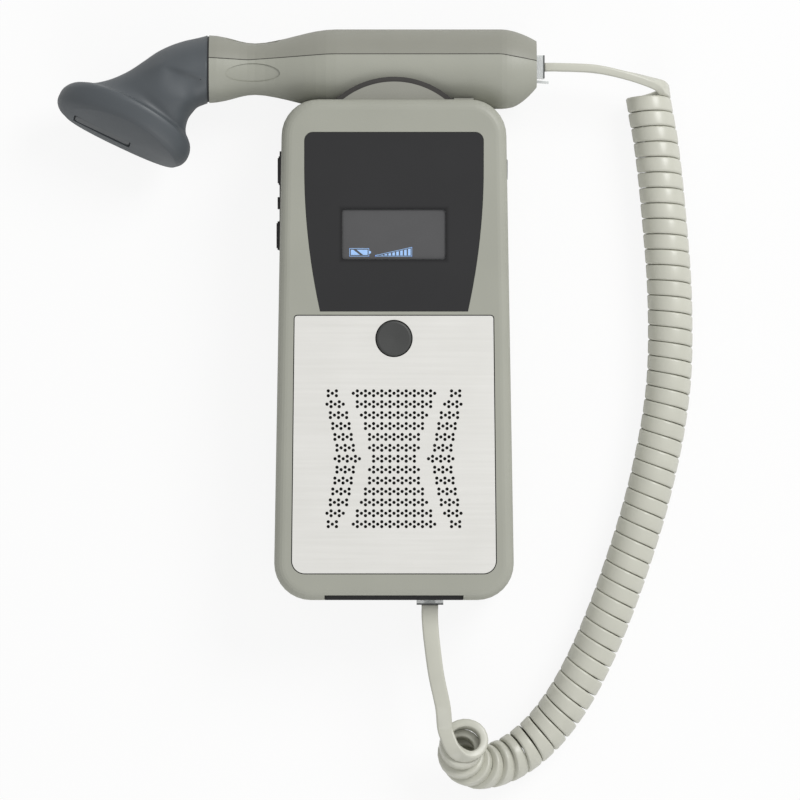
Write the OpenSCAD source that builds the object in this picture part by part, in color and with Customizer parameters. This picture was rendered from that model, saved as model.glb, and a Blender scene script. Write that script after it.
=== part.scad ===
/* [Case] */
// Height of the case in front view, bottom edge to top edge
case_h = 143.4; // [138:0.1:150]
// Width of the case near its top corners
case_w_top = 64.4; // [63:0.1:68]
// Width of the case near its bottom corners
case_w_bottom = 68.6; // [66:0.1:72]
// Thickness of the case, back face to front face
case_t = 32; // [31:0.1:36]
// Corner radius in front view
corner_r = 10.5; // [9:0.1:12]
// Edge rounding of the front cover
front_edge_r = 3; // [2:0.1:3.4]
// Edge rounding of the rear cover
rear_edge_r = 4; // [2:0.1:4.5]
// Wall thickness of both covers
wall = 2.2; // [1.8:0.1:2.6]
// Height above the back face at which the two covers meet
parting_z = 16; // [15:0.1:17]

/* [Display] */
// Distance from the top edge of the case to the dark overlay
overlay_margin = 9.5; // [8:0.1:12]
// Bottom edge of the overlay above the case middle, as a share of the case height
overlay_bottom_share = 0.0767; // [0.07:0.0001:0.09]
// Height below which the sides of the overlay curve in, as a share of the case height
overlay_waist_share = 0.363; // [0.34:0.001:0.38]
// Width of the overlay at the top
overlay_w_top = 51.2; // [46:0.1:54]
// Width of the overlay at the bottom
overlay_w_bottom = 42.2; // [38:0.1:46]
// Thickness of the overlay
overlay_t = 0.6; // [0.4:0.05:0.8]
// Width of the display window
window_w = 29.8; // [26:0.1:34]
// Height of the display window
window_h = 14.5; // [12:0.1:17]
// Corner radius of the display window
window_r = 1.2; // [0.6:0.1:2]
// Height of the window's middle above the case middle, as a share of the case height
window_share = 0.23; // [0.22:0.001:0.24]

/* [Grille plate] */
// Width of the steel plate at its top edge
plate_w_top = 56.8; // [54:0.1:57.5]
// Width of the steel plate at its bottom edge
plate_w_bottom = 58.4; // [56:0.1:59.5]
// Distance from the overlay down to the plate
plate_step = 1.3; // [1:0.1:2]
// Distance from the bottom edge of the case to the plate
plate_margin = 7.7; // [6.8:0.1:10]
// Thickness of the plate
plate_t = 0.8; // [0.6:0.05:1]
// Diameter of each hole in the plate
hole_d = 0.95; // [0.6:0.05:1.1]
// Sideways distance between holes of one line
hole_pitch = 2.33; // [2.1:0.01:2.5]
// Distance from one row of holes to the next
row_pitch = 3.12; // [2.9:0.01:3.3]
// Rise of the upper holes above the middle holes of a row
row_rise = 0.69; // [0.6:0.01:0.75]
// Depth of the middle row below the case middle, as a share of the case height
grille_share = 0.2176; // [0.21:0.0001:0.222]

/* [Power button] */
// Diameter of the button face
button_d = 10.1; // [8:0.1:11]
// Gap between the button and the plate, all round
button_gap = 0.3; // [0.2:0.05:0.4]
// Distance from the plate's top edge to the button's middle
button_drop = 6.5; // [6.3:0.1:7]
// Travel of the button when it is pressed
button_travel = 0.6; // [0.3:0.05:0.8]

/* [Side keys] */
// Length of each volume key along the case
key_l = 8.8; // [7:0.1:9.4]
// Width of each volume key across the thickness
key_w = 8.4; // [6:0.1:9]
// Height of the volume up key above the case middle, as a share of the case height
key_up_share = 0.36; // [0.356:0.001:0.363]
// Height of the volume down key above the case middle, as a share of the case height
key_down_share = 0.2294; // [0.223:0.0001:0.237]
// How far a key stands out of the case side
key_proud = 1.1; // [0.8:0.1:1.4]
// Travel of a volume key when it is pressed
key_travel = 0.6; // [0.3:0.05:0.7]
// Gap round each key in its strip
key_gap = 0.25; // [0.2:0.05:0.4]

/* [Headphone socket] */
// Bore of the headphone socket
socket_bore_d = 3.6; // [3.5:0.05:3.8]
// Depth of the headphone socket
socket_depth = 13; // [11:0.5:14]
// Outside diameter of the socket's nose
socket_nose_d = 5.8; // [5.2:0.1:6.4]
// Height of the socket above the case middle, as a share of the case height
socket_share = 0.362; // [0.35:0.001:0.366]

/* [Probe] */
// Height of the probe's axis above the top edge of the case
probe_rise = 9.15; // [8.8:0.05:9.8]
// Height of the probe's axis above the back face
probe_z = 15.5; // [15.2:0.1:15.8]
// Radius of the probe handle
handle_r = 11.45; // [11:0.05:11.6]
// Radius of the probe handle at its waist
waist_r = 7.6; // [7.2:0.1:8.4]
// Radius of the handle where it meets the head
collar_r = 9.75; // [9.4:0.05:10.2]
// Place of the waist along the handle
waist_x = -40; // [-41:0.1:-39]
// Place of the joint between head and handle
joint_x = -53.4; // [-54:0.1:-53]
// Place of the handle's cord end
handle_end_x = 41; // [40:0.1:42]
// Wall thickness of the handle shells
handle_wall = 1.8; // [1.5:0.1:2]
// Half depth of the oval face of the head
face_half_depth = 14.3; // [12:0.1:15]
// Tilt of the face toward the front
face_tilt = 12; // [6:1:16]

/* [Cradle] */
// Radius of the round tongue
tongue_r = 23.5; // [22:0.1:24.5]
// Distance from the top edge of the case down to the tongue's centre
tongue_drop = 18.4; // [17.7:0.1:18.7]
// Width of the dark rim round the tongue
rim_w = 1.4; // [1:0.1:1.8]
// Thickness of the liner under the probe
liner_t = 0.6; // [0.4:0.1:0.8]
// Gap between the liner and the probe
cradle_gap = 0.3; // [0.25:0.05:0.4]

/* [Batteries] */
// Diameter of one cell
cell_d = 14.5; // [13.5:0.1:14.5]
// Length of one cell with its cap
cell_l = 50.5; // [49:0.5:50.5]
// Gap round each cell
cell_gap = 0.25; // [0.2:0.05:0.3]
// Thickness of the battery door
door_t = 2; // [1.6:0.1:2.2]
// Gap round the battery door
door_gap = 0.15; // [0.1:0.05:0.3]

/* [Cord] */
// Width of the flat cord
cord_w = 4.8; // [4:0.1:5]
// Thickness of the flat cord
cord_t = 2.4; // [2:0.1:2.6]
// Outside diameter of the coiled stretch
coil_d = 12.9; // [12:0.1:14]
// Distance from one curl to the next where the coil lies straight
curl_pitch = 4.45; // [4.3:0.01:5]
// Width of the cord where it is wound
wound_w = 3.7; // [3.2:0.05:3.8]
// Least gap between curls, on the inner side of a bend
curl_gap = 0.5; // [0.45:0.05:0.8]
// Width of the modular plug
plug_w = 7.65; // [7.4:0.05:7.8]
// Thickness of the modular plug
plug_h = 6.6; // [6:0.1:6.8]
// Length of the modular plug
plug_l = 11.7; // [11:0.1:12]
// Place of the unit's jack across the case
jack_x = 10.3; // [9:0.1:12]
// Height of the unit's jack above the back face
jack_z = 23.6; // [23.4:0.1:24]

/* [Hidden] */

// Colours of the mouldings and metals
beige = "#a6a89d";
beige_dark = "#8f8f86";
black_plastic = "#3c3c3d";
head_grey = "#5a5f63";
steel = "#e1dfda";
rubber = "#4a4a4b";
cord_colour = "#bdbdb5";
clear_plastic = "#dfe3e0";
gold = "#c9a24a";
board_green = "#2f6b46";

// Facets of hull children and of plain round cuts
hull_fn = 32;
round_fn = 48;
// How far a cutting solid runs past the face it cuts
over = 1;
// Small gap between pieces that slide into each other by hand
slip = 0.1;
// How far a rib or wall is let into the wall that it stands on
root = 0.5;

// Case
half_h = case_h / 2;
inner_front_z = case_t - wall;
// Thickness of the top wall, into which the cradle is let
top_wall = 7.6;
cavity_top_y = half_h - top_wall;
cavity_bottom_y = -half_h + wall;
// Inner edge rounding of the front cover and of the rear cover
front_inner_r = 1;
rear_inner_r = 2;
edge_steps = 6;
side_slope = (case_w_bottom - case_w_top) / 2 / (case_h - 2 * corner_r);
function half_w(y) = (case_w_top + case_w_bottom) / 4 - side_slope * y;

// Screws and bosses
screw_d = 2.5;
screw_head_d = 5.4;
screw_head_h = 1.8;
screw_sink = 1.2;
screw_tip_z = 26;
boss_r = 3.1;
boss_gap = 0.1;
top_screw_x = 25;
top_screw_y = cavity_top_y - boss_r - 0.2;
low_screw_x = 28.6;
low_screw_y = -half_h + 11.7;
screw_places = [
    [-top_screw_x, top_screw_y],
    [top_screw_x, top_screw_y],
    [-low_screw_x, low_screw_y],
    [low_screw_x, low_screw_y]
];

// Heights on the front
overlay_top_y = half_h - overlay_margin;
overlay_bottom_y = overlay_bottom_share * case_h;
overlay_waist_y = overlay_waist_share * case_h;
window_y = window_share * case_h;
plate_top_y = overlay_bottom_y - plate_step;
plate_bottom_y = -half_h + plate_margin;
grille_y = -grille_share * case_h;
button_y = plate_top_y - button_drop;
key_up_y = key_up_share * case_h;
key_down_y = key_down_share * case_h;
socket_y = socket_share * case_h;
probe_y = half_h + probe_rise;
tongue_y = half_h - tongue_drop;

// Battery bay, with room for a contact at each end of the cells
bay_gap_end = 2.6;
bay_play = 0.6;
bay_w = 3 * cell_d + 4 * cell_gap + bay_play;
bay_wall = 1.3;
bay_margin = 6.1;
bay_bottom_y = -half_h + bay_margin;
bay_top_y = bay_bottom_y + cell_l + 2 * bay_gap_end;
bay_floor_z = door_t + 0.2;
bay_roof_z = bay_floor_z + cell_d + 2 * cell_gap;
cell_z = bay_floor_z + cell_gap + cell_d / 2;
cell_step = cell_d + cell_gap;
door_half_w = bay_w / 2 + 2.4;
door_top_y = bay_top_y + 1.4;
ledge_t = 1.4;
ledge_w = 2.2;

// Main board
board_z = 20;
board_t = 1.6;
board_half_w = 28;
board_low_y = button_y - 9.2;
board_high_y = cavity_top_y - 3.1;
board_front_z = board_z + board_t;
post_r = 2.4;
upper_post_x = 12;
upper_post_y = board_high_y - 4;
lower_post_x = 22;
lower_post_y = button_y - 1.2;
post_places = [
    [-upper_post_x, upper_post_y],
    [upper_post_x, upper_post_y],
    [-lower_post_x, lower_post_y],
    [lower_post_x, lower_post_y]
];

// Speaker, under the grille
speaker_r = 20;
speaker_y = grille_y;
gasket_t = 0.5;
speaker_top_z = inner_front_z - gasket_t;
speaker_bottom_z = bay_roof_z + bay_wall + 0.3;
magnet_r = 11;
magnet_h = 3.6;
felt_w = 43;
felt_h = 41;
felt_t = 0.4;
plate_glue = 0.1;
// Gap round the plate in its recess, and its corner radii
plate_gap = 0.28;
plate_low_r = 3.6;
plate_top_r = 0.8;
overlay_r = 2.4;
plate_floor_z = case_t - plate_t - plate_glue;
felt_floor_z = plate_floor_z - felt_t;

// Cradle
channel_r = handle_r + cradle_gap + liner_t;
groove_r = handle_r + cradle_gap;
cradle_base_y = cavity_top_y + 2;
cradle_back_z = 3.1;
cradle_front_z = case_t - front_edge_r - 0.1;
cradle_half_w = 22.8;
ledge_rise = 0.35;
ledge_from_x = 17.2;
rim_low_y = half_h - 0.1;
liner_inset = 0.3;

// Cord end of the unit
panel_half_w = 19.8;
panel_back_z = 6.3;
panel_t = 1.8;
panel_flange_t = 1.2;
panel_flange_w = 1.6;
panel_notch = 1.4;
panel_flange_z = bay_roof_z + bay_wall + slip;
panel_flange_h = inner_front_z - panel_flange_z - 1.2;
jack_w = 12;
jack_d = 13;
jack_low = 4.7;
jack_high = 4.9;
plug_out_unit = 1.4;
plug_out_probe = 2.3;
plug_play = 0.1;
latch_w = 3.2;
contact_pitch = 1.02;
contact_w = 0.3;
contact_slot_w = 0.5;
slot_len = 3.6;
slot_from_y = plug_l - slot_len - 1;
wire_rise = 0.42;
probe_jack_y = probe_y + 0.55;

// Coil of the cord: points of its middle line, from the probe's end to the unit's end
coil_route = [
    [73.2, 72.9, 6.6], [74.2, 67.4, 6.6], [75.5, 61, 6.6], [77, 49, 6.6], [78.3, 35, 6.6], [79.4, 21, 6.6],
    [79.8, 7, 6.6], [79.5, -7, 6.6], [78, -20, 6.6], [75.5, -33, 6.6], [72, -47, 6.6], [67.6, -61, 6.6],
    [63, -74, 6.6], [57.6, -87, 6.6], [51.4, -99, 6.6], [44.4, -108.8, 6.6], [37.2, -115.5, 6.6],
    [30.5, -119.2, 6.7], [24.4, -120.3, 8.4], [20, -118.3, 11.2], [19, -114.9, 14.8],
    [20.8, -112.3, 18.4], [22, -111.5, 21]
];
// Points that the two straight tails pass between their plug and the coil
unit_tail_route = [[10.6, -83.3, 23.2], [12.9, -97.7, 22.4]];
probe_tail_route = [[58, 80.9, 15.2], [67.6, 78.7, 14.6], [74.9, 76.2, 13.2]];
coil_r = (coil_d - cord_t) / 2;
rings_per_curl = 8;
coil_samples = 460;
// Turn angles at which the winding begins and ends: 90 is on top of the coil, 0 on its side
coil_start_turn = 20;
coil_end_turn = 72;
// Route point from which the curls lean upright, how far they lean, and the turn over which the flat
// side comes round to the front at the unit's end
lean_from = 14;
lean = 1.3;
unwind_turn = 110;
unwind_share = 0.6;
// Least width of the cord where its curls crowd on the inner side of a bend
wound_least_w = 1.2;
// Straight stretch of each tail next to a plug or to the coil, and the gap to the coil at the probe's end
tail_straight = 4;
tail_bend = 2.5;
tail_gap = 0.05;

function unit(v) = v / norm(v);
function mix(a, b, u) = a + (b - a) * u;
function clamp(v, low, high) = max(low, min(high, v));

// Smooth curve through the points p, with t from 0 to len(p) - 1
function end_safe(p, i) =
    i < 0 ? 2 * p[0] - p[1] : i > len(p) - 1 ? 2 * p[len(p) - 1] - p[len(p) - 2] : p[i];
function curve_piece(a, b, c, d, u) =
    0.5 * (2 * b + (c - a) * u + (2 * a - 5 * b + 4 * c - d) * u * u + (3 * b - a - 3 * c + d) * u * u * u);
function curve(p, t) =
    let(i = clamp(floor(t), 0, len(p) - 2))
    curve_piece(end_safe(p, i - 1), p[i], p[i + 1], end_safe(p, i + 2), t - i);
function curve_dir(p, t) =
    let(step = 0.01, a = max(0, t - step), b = min(len(p) - 1, t + step))
    unit(curve(p, b) - curve(p, a));

// Solid skin over a list of rings that all have the same number of points
module skin(rings) {
    m = len(rings[0]);
    last = (len(rings) - 1) * m;
    sides = [
        for (i = [0 : len(rings) - 2], j = [0 : m - 1])
            let(a = i * m + j, b = i * m + (j + 1) % m)
            each [[a, b + m, b], [a, a + m, b + m]]
    ];
    first_cap = [for (j = [1 : m - 2]) [0, j, j + 1]];
    last_cap = [for (j = [1 : m - 2]) [last, last + j + 1, last + j]];
    polyhedron(points = [for (r = rings) each r], faces = concat(sides, first_cap, last_cap));
}

// Slab with rounded corners that is wider at the bottom, with its two edges rounded by r_low and r_high
module case_slab(inset, y_low, y_high, z_low, z_high, r_low, r_high) {
    r = corner_r - inset;
    turns = [for (k = [0 : edge_steps]) 90 * k / edge_steps];
    low_edge = r_low == 0 ? [[r, z_low]] : [
        for (a = turns) [r - r_low + r_low * sin(a), z_low + r_low - r_low * cos(a)]
    ];
    high_edge = r_high == 0 ? [[r, z_high]] : [
        for (a = turns) [r - r_high + r_high * cos(a), z_high - r_high + r_high * sin(a)]
    ];
    hull()
        for (side = [-1, 1], y = [y_low + r, y_high - r])
            translate([side * (half_w(y) - inset - r), y, 0])
                rotate_extrude($fn = hull_fn)
                    polygon(concat([[0, z_low]], low_edge, high_edge, [[0, z_high]]));
}

module rounded_box(w, h, r, z_low, z_high) {
    translate([0, 0, z_low])
        linear_extrude(z_high - z_low)
            offset(r = r, $fn = round_fn)
                square([w - 2 * r, h - 2 * r], center = true);
}

module hole_z(x, y, z_low, z_high, r) {
    translate([x, y, z_low])
        cylinder(h = z_high - z_low, r = r, $fn = round_fn);
}

// Space that the probe's handle takes across the top of the case
module probe_groove(r) {
    translate([-half_h, probe_y, probe_z])
        rotate([0, 90, 0])
            cylinder(h = case_h, r = r, $fn = round_fn);
}

module cradle_pocket() {
    translate([-cradle_half_w - slip, cradle_base_y - slip, cradle_back_z - slip])
        cube([2 * (cradle_half_w + slip), half_h, cradle_front_z - cradle_back_z + 2 * slip]);
}

module panel_cut() {
    translate([-panel_half_w - slip, -half_h - over, panel_back_z - slip])
        cube([2 * (panel_half_w + slip), wall + 2 * over, cradle_front_z - panel_back_z]);
    translate([-panel_half_w - slip, -half_h - over, parting_z + slip])
        cube([2 * (panel_half_w + slip), panel_notch + over, case_t]);
}

// Key strip round the two volume keys, with a small nub between them, and the flange inside each key
strip_rim = 1.1;
strip_l = key_up_y - key_down_y + key_l + 2 * strip_rim;
strip_y = (key_up_y + key_down_y) / 2;
strip_w = key_w + 3;
strip_proud = 0.35;
strip_t = 1.4;
strip_r = 2.5;
nub_l = 3.4;
nub_w = strip_w - 4;
nub_r = 1.2;
nub_proud = 0.6;
key_r = 2;
key_flange_over = 1.1;
key_flange_t = 1;

// Block with rounded corners along the X axis, for a key, its opening and its flange
module key_shape(l, w, x_low, x_high, r) {
    translate([x_low, 0, parting_z])
        rotate([0, 90, 0])
            linear_extrude(x_high - x_low)
                offset(r = r, $fn = hull_fn)
                    square([w - 2 * r, l - 2 * r], center = true);
}

// Opening for the key at the height y, from x_low to x_high
module key_opening(y, x_low, x_high) {
    translate([0, y, 0])
        key_shape(key_l + 2 * key_gap, key_w + 2 * key_gap, x_low, x_high, key_r);
}

module left_wall_cuts() {
    for (y = [key_up_y, key_down_y])
        key_opening(y, -half_w(y) - 2 * over, -half_w(y) + wall + over);
    translate([0, strip_y, 0])
        key_shape(strip_l + 2 * slip, strip_w + 2 * slip, -half_w(strip_y) - 2 * over,
            -half_w(strip_y) + strip_t - strip_proud, strip_r + slip);
}

module right_wall_cut() {
    translate([half_w(socket_y) - wall - over, socket_y, parting_z])
        rotate([0, 90, 0])
            cylinder(h = wall + 3 * over, d = socket_nose_d + 2 * slip, $fn = round_fn);
}

module shared_cuts() {
    probe_groove(groove_r);
    cradle_pocket();
    panel_cut();
    left_wall_cuts();
    right_wall_cut();
}

// Half width of the overlay at a height: straight above the waist, curving in below it
function overlay_half_w(y) =
    let(u = max(0, (overlay_waist_y - y) / (overlay_waist_y - overlay_bottom_y)))
    mix(overlay_w_top, overlay_w_bottom, u * u) / 2;

// Overlay shape from its bottom edge up to y_top, with sharp corners
module overlay_sides(y_top) {
    steps = 12;
    right = [
        for (k = [0 : steps])
            let(y = mix(overlay_bottom_y, overlay_waist_y, k / steps))
            [overlay_half_w(y), y]
    ];
    left = [for (k = [steps : -1 : 0]) [-right[k][0], right[k][1]]];
    top = [[overlay_w_top / 2, y_top], [-overlay_w_top / 2, y_top]];
    polygon(concat(right, top, left));
}

module overlay_outline(grow) {
    offset(delta = grow)
        union() {
            overlay_sides(overlay_waist_y + 1);
            offset(r = overlay_r, $fn = round_fn)
                offset(delta = -overlay_r)
                    overlay_sides(overlay_top_y);
        }
}

function plate_half_w(y) =
    mix(plate_w_top, plate_w_bottom, (plate_top_y - y) / (plate_top_y - plate_bottom_y)) / 2;

// Plate shape between two heights, with its corners rounded by r
module plate_part(y_low, y_high, r) {
    offset(r = r, $fn = round_fn)
        offset(delta = -r)
            polygon([
                [-plate_half_w(y_low), y_low],
                [plate_half_w(y_low), y_low],
                [plate_half_w(y_high), y_high],
                [-plate_half_w(y_high), y_high]
            ]);
}

module plate_outline(grow) {
    offset(delta = grow)
        union() {
            plate_part(plate_bottom_y, plate_top_y, plate_low_r);
            plate_part(grille_y, plate_top_y, plate_top_r);
        }
}

module front_cover() {
    color(beige)
        difference() {
            union() {
                difference() {
                    case_slab(0, -half_h, half_h, parting_z, case_t, 0, front_edge_r);
                    case_slab(wall, cavity_bottom_y, cavity_top_y, parting_z - over, inner_front_z,
                        0, front_inner_r);
                }
                for (p = screw_places)
                    hole_z(p[0], p[1], parting_z, inner_front_z + slip, boss_r);
            }
            shared_cuts();
            for (p = screw_places)
                hole_z(p[0], p[1], parting_z - over, screw_tip_z + 1, screw_d / 2 + boss_gap / 2);
            translate([0, 0, case_t - overlay_t])
                linear_extrude(2 * over)
                    overlay_outline(slip);
            translate([0, window_y, 0])
                rounded_box(window_w + 3, window_h + 3, 1.4, inner_front_z - over, case_t);
            translate([0, 0, plate_floor_z])
                linear_extrude(2 * over)
                    plate_outline(plate_gap);
            translate([0, speaker_y, 0])
                rounded_box(felt_w + 2 * slip, felt_h + 2 * slip, 2, felt_floor_z, case_t);
            hole_z(0, speaker_y, inner_front_z - over, case_t, speaker_r - 2);
            hole_z(0, button_y, inner_front_z - over, case_t, button_d / 2 + button_gap);
        }
}

// Raised floor round the door opening, which the door slides under
module door_ledge() {
    translate([-door_half_w - ledge_w, bay_bottom_y - ledge_w, wall - root])
        cube([
            2 * (door_half_w + ledge_w),
            door_top_y - bay_bottom_y + 2 * ledge_w,
            ledge_t + root
        ]);
}

module bay_box() {
    translate([-bay_w / 2 - bay_wall, bay_bottom_y - bay_wall, wall - root])
        cube([
            bay_w + 2 * bay_wall,
            bay_top_y - bay_bottom_y + 2 * bay_wall,
            bay_roof_z + bay_wall - wall + root
        ]);
}

module rear_cover() {
    color(beige)
        difference() {
            union() {
                difference() {
                    case_slab(0, -half_h, half_h, 0, parting_z, rear_edge_r, 0);
                    case_slab(wall, cavity_bottom_y, cavity_top_y, wall, parting_z + over, rear_inner_r, 0);
                }
                for (p = screw_places)
                    hole_z(p[0], p[1], wall - slip, parting_z - boss_gap, boss_r);
                for (p = post_places)
                    hole_z(p[0], p[1], wall - slip, board_z, post_r);
                door_ledge();
                bay_box();
            }
            translate([-bay_w / 2, bay_bottom_y, -over])
                cube([bay_w, bay_top_y - bay_bottom_y, bay_roof_z + over]);
            door_space(door_gap);
            shared_cuts();
            for (p = screw_places) {
                hole_z(p[0], p[1], -over, parting_z + over, screw_d / 2 + 0.2);
                hole_z(p[0], p[1], -over, screw_sink + screw_head_h, screw_head_d / 2 + 0.2);
            }
        }
}

module door_space(gap) {
    translate([-door_half_w - gap, -half_h - over, -over])
        cube([2 * (door_half_w + gap), half_h + over + door_top_y + gap, door_t + over + gap / 3]);
}

// Sliding door with its thumb grip, cut out of the same outside shape as the rear cover
module battery_door() {
    grip_step = 1.8;
    color(beige)
        difference() {
            intersection() {
                case_slab(0, -half_h, half_h, 0, parting_z, rear_edge_r, 0);
                translate([-door_half_w, -half_h - over, -over])
                    cube([2 * door_half_w, half_h + over + door_top_y, door_t + over]);
            }
            for (k = [0 : 3])
                translate([-6, door_top_y - 10 - k * grip_step, -over])
                    cube([12, 0.8, over + 0.6]);
        }
}

// Disc outline of the tongue, cut off at the height y_low
module tongue_disc(r, y_low, z_low, z_high) {
    intersection() {
        hole_z(0, tongue_y, z_low, z_high, r);
        translate([-case_w_top, y_low, z_low - over])
            cube([2 * case_w_top, case_h, z_high - z_low + 2 * over]);
    }
}

// Block under the probe's groove, with a low ledge at its cord end
module cradle_block() {
    block_h = rim_low_y - cradle_base_y;
    translate([-cradle_half_w, cradle_base_y, cradle_back_z])
        cube([2 * cradle_half_w, block_h, cradle_front_z - cradle_back_z]);
    translate([ledge_from_x, cradle_base_y, cradle_back_z])
        cube([cradle_half_w - ledge_from_x, block_h + ledge_rise + 0.1, cradle_front_z - cradle_back_z]);
}

module cradle() {
    color(beige_dark)
        difference() {
            union() {
                tongue_disc(tongue_r, cradle_base_y, cradle_back_z, cradle_front_z);
                cradle_block();
            }
            probe_groove(channel_r);
        }
}

module liner_disc() {
    tongue_disc(tongue_r + rim_w, rim_low_y, cradle_back_z + liner_inset, cradle_front_z - liner_inset);
}

// Rubber rim round the tongue and the lining of the groove, in one piece
module cradle_liner() {
    color(rubber)
        difference() {
            union() {
                difference() {
                    liner_disc();
                    hole_z(0, tongue_y, 0, case_t, tongue_r);
                }
                intersection() {
                    probe_groove(channel_r);
                    union() {
                        liner_disc();
                        cradle_block();
                    }
                }
            }
            probe_groove(groove_r);
        }
}

module display_overlay() {
    color(black_plastic)
        difference() {
            translate([0, 0, case_t - overlay_t])
                linear_extrude(overlay_t)
                    overlay_outline(0);
            translate([0, window_y, 0])
                rounded_box(window_w, window_h, window_r, 0, case_t + over);
        }
}

// How far the window lies below the overlay's face
window_sink = 0.15;

module display_window() {
    color("#555555")
        translate([0, window_y, 0])
            rounded_box(window_w, window_h, window_r, case_t - overlay_t, case_t - window_sink);
}

module display_module() {
    glass_t = 1.2;
    color("#20262b") {
        translate([-window_w / 2 - 4, window_y - window_h / 2 - 4, board_front_z])
            cube([window_w + 8, window_h + 8, inner_front_z - board_front_z - glass_t]);
        translate([-window_w / 2 - 1, window_y - window_h / 2 - 1, inner_front_z - glass_t])
            cube([window_w + 2, window_h + 2, glass_t + wall - overlay_t]);
    }
}

// Hole places of the grille: a waisted middle field and two curved side fields
half_rows = 6;
middle_reach = [5, 6, 6, 7, 8, 9, 10];
side_first_x = [15.7, 16.3, 16.9, 17.5, 18.2, 18, 18.8];
side_outer_count = [3, 3, 3, 3, 3, 2, 2];
side_middle_count = [4, 2, 2, 2, 2, 3, 1];
half_pitch = hole_pitch / 2;
function pair(x, y) = [[x, y + row_rise], [x, y - row_rise]];
function middle_field(r) =
    let(n = middle_reach[abs(r)], odd = abs(r) == 2 ? 0 : 1, y = r * row_pitch)
    [for (i = [-n : n]) each (abs(i) % 2 == odd ? pair(i * half_pitch, y) : [[i * half_pitch, y]])];
function side_field(r, side) =
    let(k = abs(r), outer = side_outer_count[k], inner = side_middle_count[k],
        shift = inner > outer ? -half_pitch : half_pitch)
    concat(
        [for (i = [0 : outer - 1]) each pair(side * (side_first_x[k] - i * hole_pitch), r * row_pitch)],
        [for (i = [0 : inner - 1]) [side * (side_first_x[k] - shift - i * hole_pitch), r * row_pitch]]
    );
function grille_holes() =
    [for (r = [-half_rows : half_rows]) each concat(middle_field(r), side_field(r, -1), side_field(r, 1))];

module grille_plate() {
    color(steel)
        difference() {
            translate([0, 0, plate_floor_z])
                linear_extrude(plate_t)
                    plate_outline(0);
            for (h = grille_holes())
                translate([h[0], grille_y + h[1], plate_floor_z - over])
                    cylinder(h = plate_t + 2 * over, d = hole_d, $fn = 16);
            hole_z(0, button_y, 0, case_t + over, button_d / 2 + button_gap);
        }
}

module grille_felt() {
    color("#1c1c20")
        translate([0, speaker_y, 0])
            rounded_box(felt_w, felt_h, 2, felt_floor_z, plate_floor_z);
}

module speaker_gasket() {
    color("#202020")
        difference() {
            hole_z(0, speaker_y, speaker_top_z, inner_front_z, speaker_r);
            hole_z(0, speaker_y, 0, case_t, speaker_r - 2);
        }
}

module speaker_frame() {
    color("#303236")
        translate([0, speaker_y, 0])
            rotate_extrude($fn = round_fn)
                polygon([
                    [speaker_r, speaker_top_z],
                    [speaker_r - 2, speaker_top_z],
                    [speaker_r - 2, speaker_top_z - 1],
                    [magnet_r - 1, speaker_bottom_z + magnet_h + 1],
                    [magnet_r - 1, speaker_bottom_z + magnet_h],
                    [magnet_r + 1, speaker_bottom_z + magnet_h],
                    [speaker_r, speaker_top_z - 2.2]
                ]);
}

module speaker_magnet() {
    color("#55585c")
        hole_z(0, speaker_y, speaker_bottom_z, speaker_bottom_z + magnet_h, magnet_r);
}

module speaker_cone() {
    color("#26272a")
        translate([0, speaker_y, 0])
            rotate_extrude($fn = round_fn)
                polygon([
                    [0, speaker_bottom_z + magnet_h],
                    [5, speaker_bottom_z + magnet_h],
                    [5, speaker_bottom_z + magnet_h + 1.6],
                    [speaker_r - 2.3, speaker_top_z - 0.8],
                    [speaker_r - 2.3, speaker_top_z],
                    [5.6, speaker_bottom_z + magnet_h + 2.6],
                    [0, speaker_bottom_z + magnet_h + 3.4]
                ]);
}

button_top_z = case_t + 0.4;
button_flange_z = inner_front_z - 0.3;
switch_body_h = 3.4;
switch_tip_h = 0.8;
switch_press_gap = 0.05;

module power_button() {
    stem_z = board_front_z + switch_body_h + switch_tip_h + button_travel + switch_press_gap;
    color("#4f504f")
        translate([0, button_y, 0])
            rotate_extrude($fn = round_fn)
                polygon([
                    [0, stem_z],
                    [1.8, stem_z],
                    [1.8, button_flange_z - 1.2],
                    [button_d / 2 + 1.2, button_flange_z - 1.2],
                    [button_d / 2 + 1.2, button_flange_z],
                    [button_d / 2, button_flange_z],
                    [button_d / 2, button_top_z - 0.5],
                    [button_d / 2 - 0.2, button_top_z - 0.15],
                    [button_d / 2 - 0.6, button_top_z],
                    [0, button_top_z - 0.3]
                ]);
}

module power_switch() {
    color("#2a2a2c") {
        translate([-3, button_y - 3, board_front_z])
            cube([6, 6, switch_body_h]);
        hole_z(0, button_y, board_front_z + switch_body_h, board_front_z + switch_body_h + switch_tip_h, 1.6);
    }
}

module main_board() {
    color(board_green)
        difference() {
            translate([-board_half_w, board_low_y, board_z])
                cube([2 * board_half_w, board_high_y - board_low_y, board_t]);
            for (p = screw_places)
                hole_z(p[0], p[1], 0, case_t, boss_r + 0.4);
        }
}

key_back_x = -half_w(key_up_y) + wall + 0.35;

// Volume key: a domed pad outside, and a flange inside that keeps it from falling out
module volume_key(y) {
    face_x = -half_w(y) - key_proud;
    color(rubber)
        translate([0, y, 0]) {
            key_shape(key_l - 1.6, key_w - 1.6, face_x, face_x + 0.5, 1.6);
            key_shape(key_l - 0.6, key_w - 0.6, face_x + 0.3, face_x + 0.9, 1.9);
            key_shape(key_l, key_w, face_x + 0.8, key_back_x, key_r);
            key_shape(key_l + 2 * key_flange_over, key_w + 2 * key_flange_over,
                key_back_x, key_back_x + key_flange_t, key_r);
        }
}

module volume_up_key() {
    volume_key(key_up_y);
}

module volume_down_key() {
    volume_key(key_down_y);
}

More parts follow.
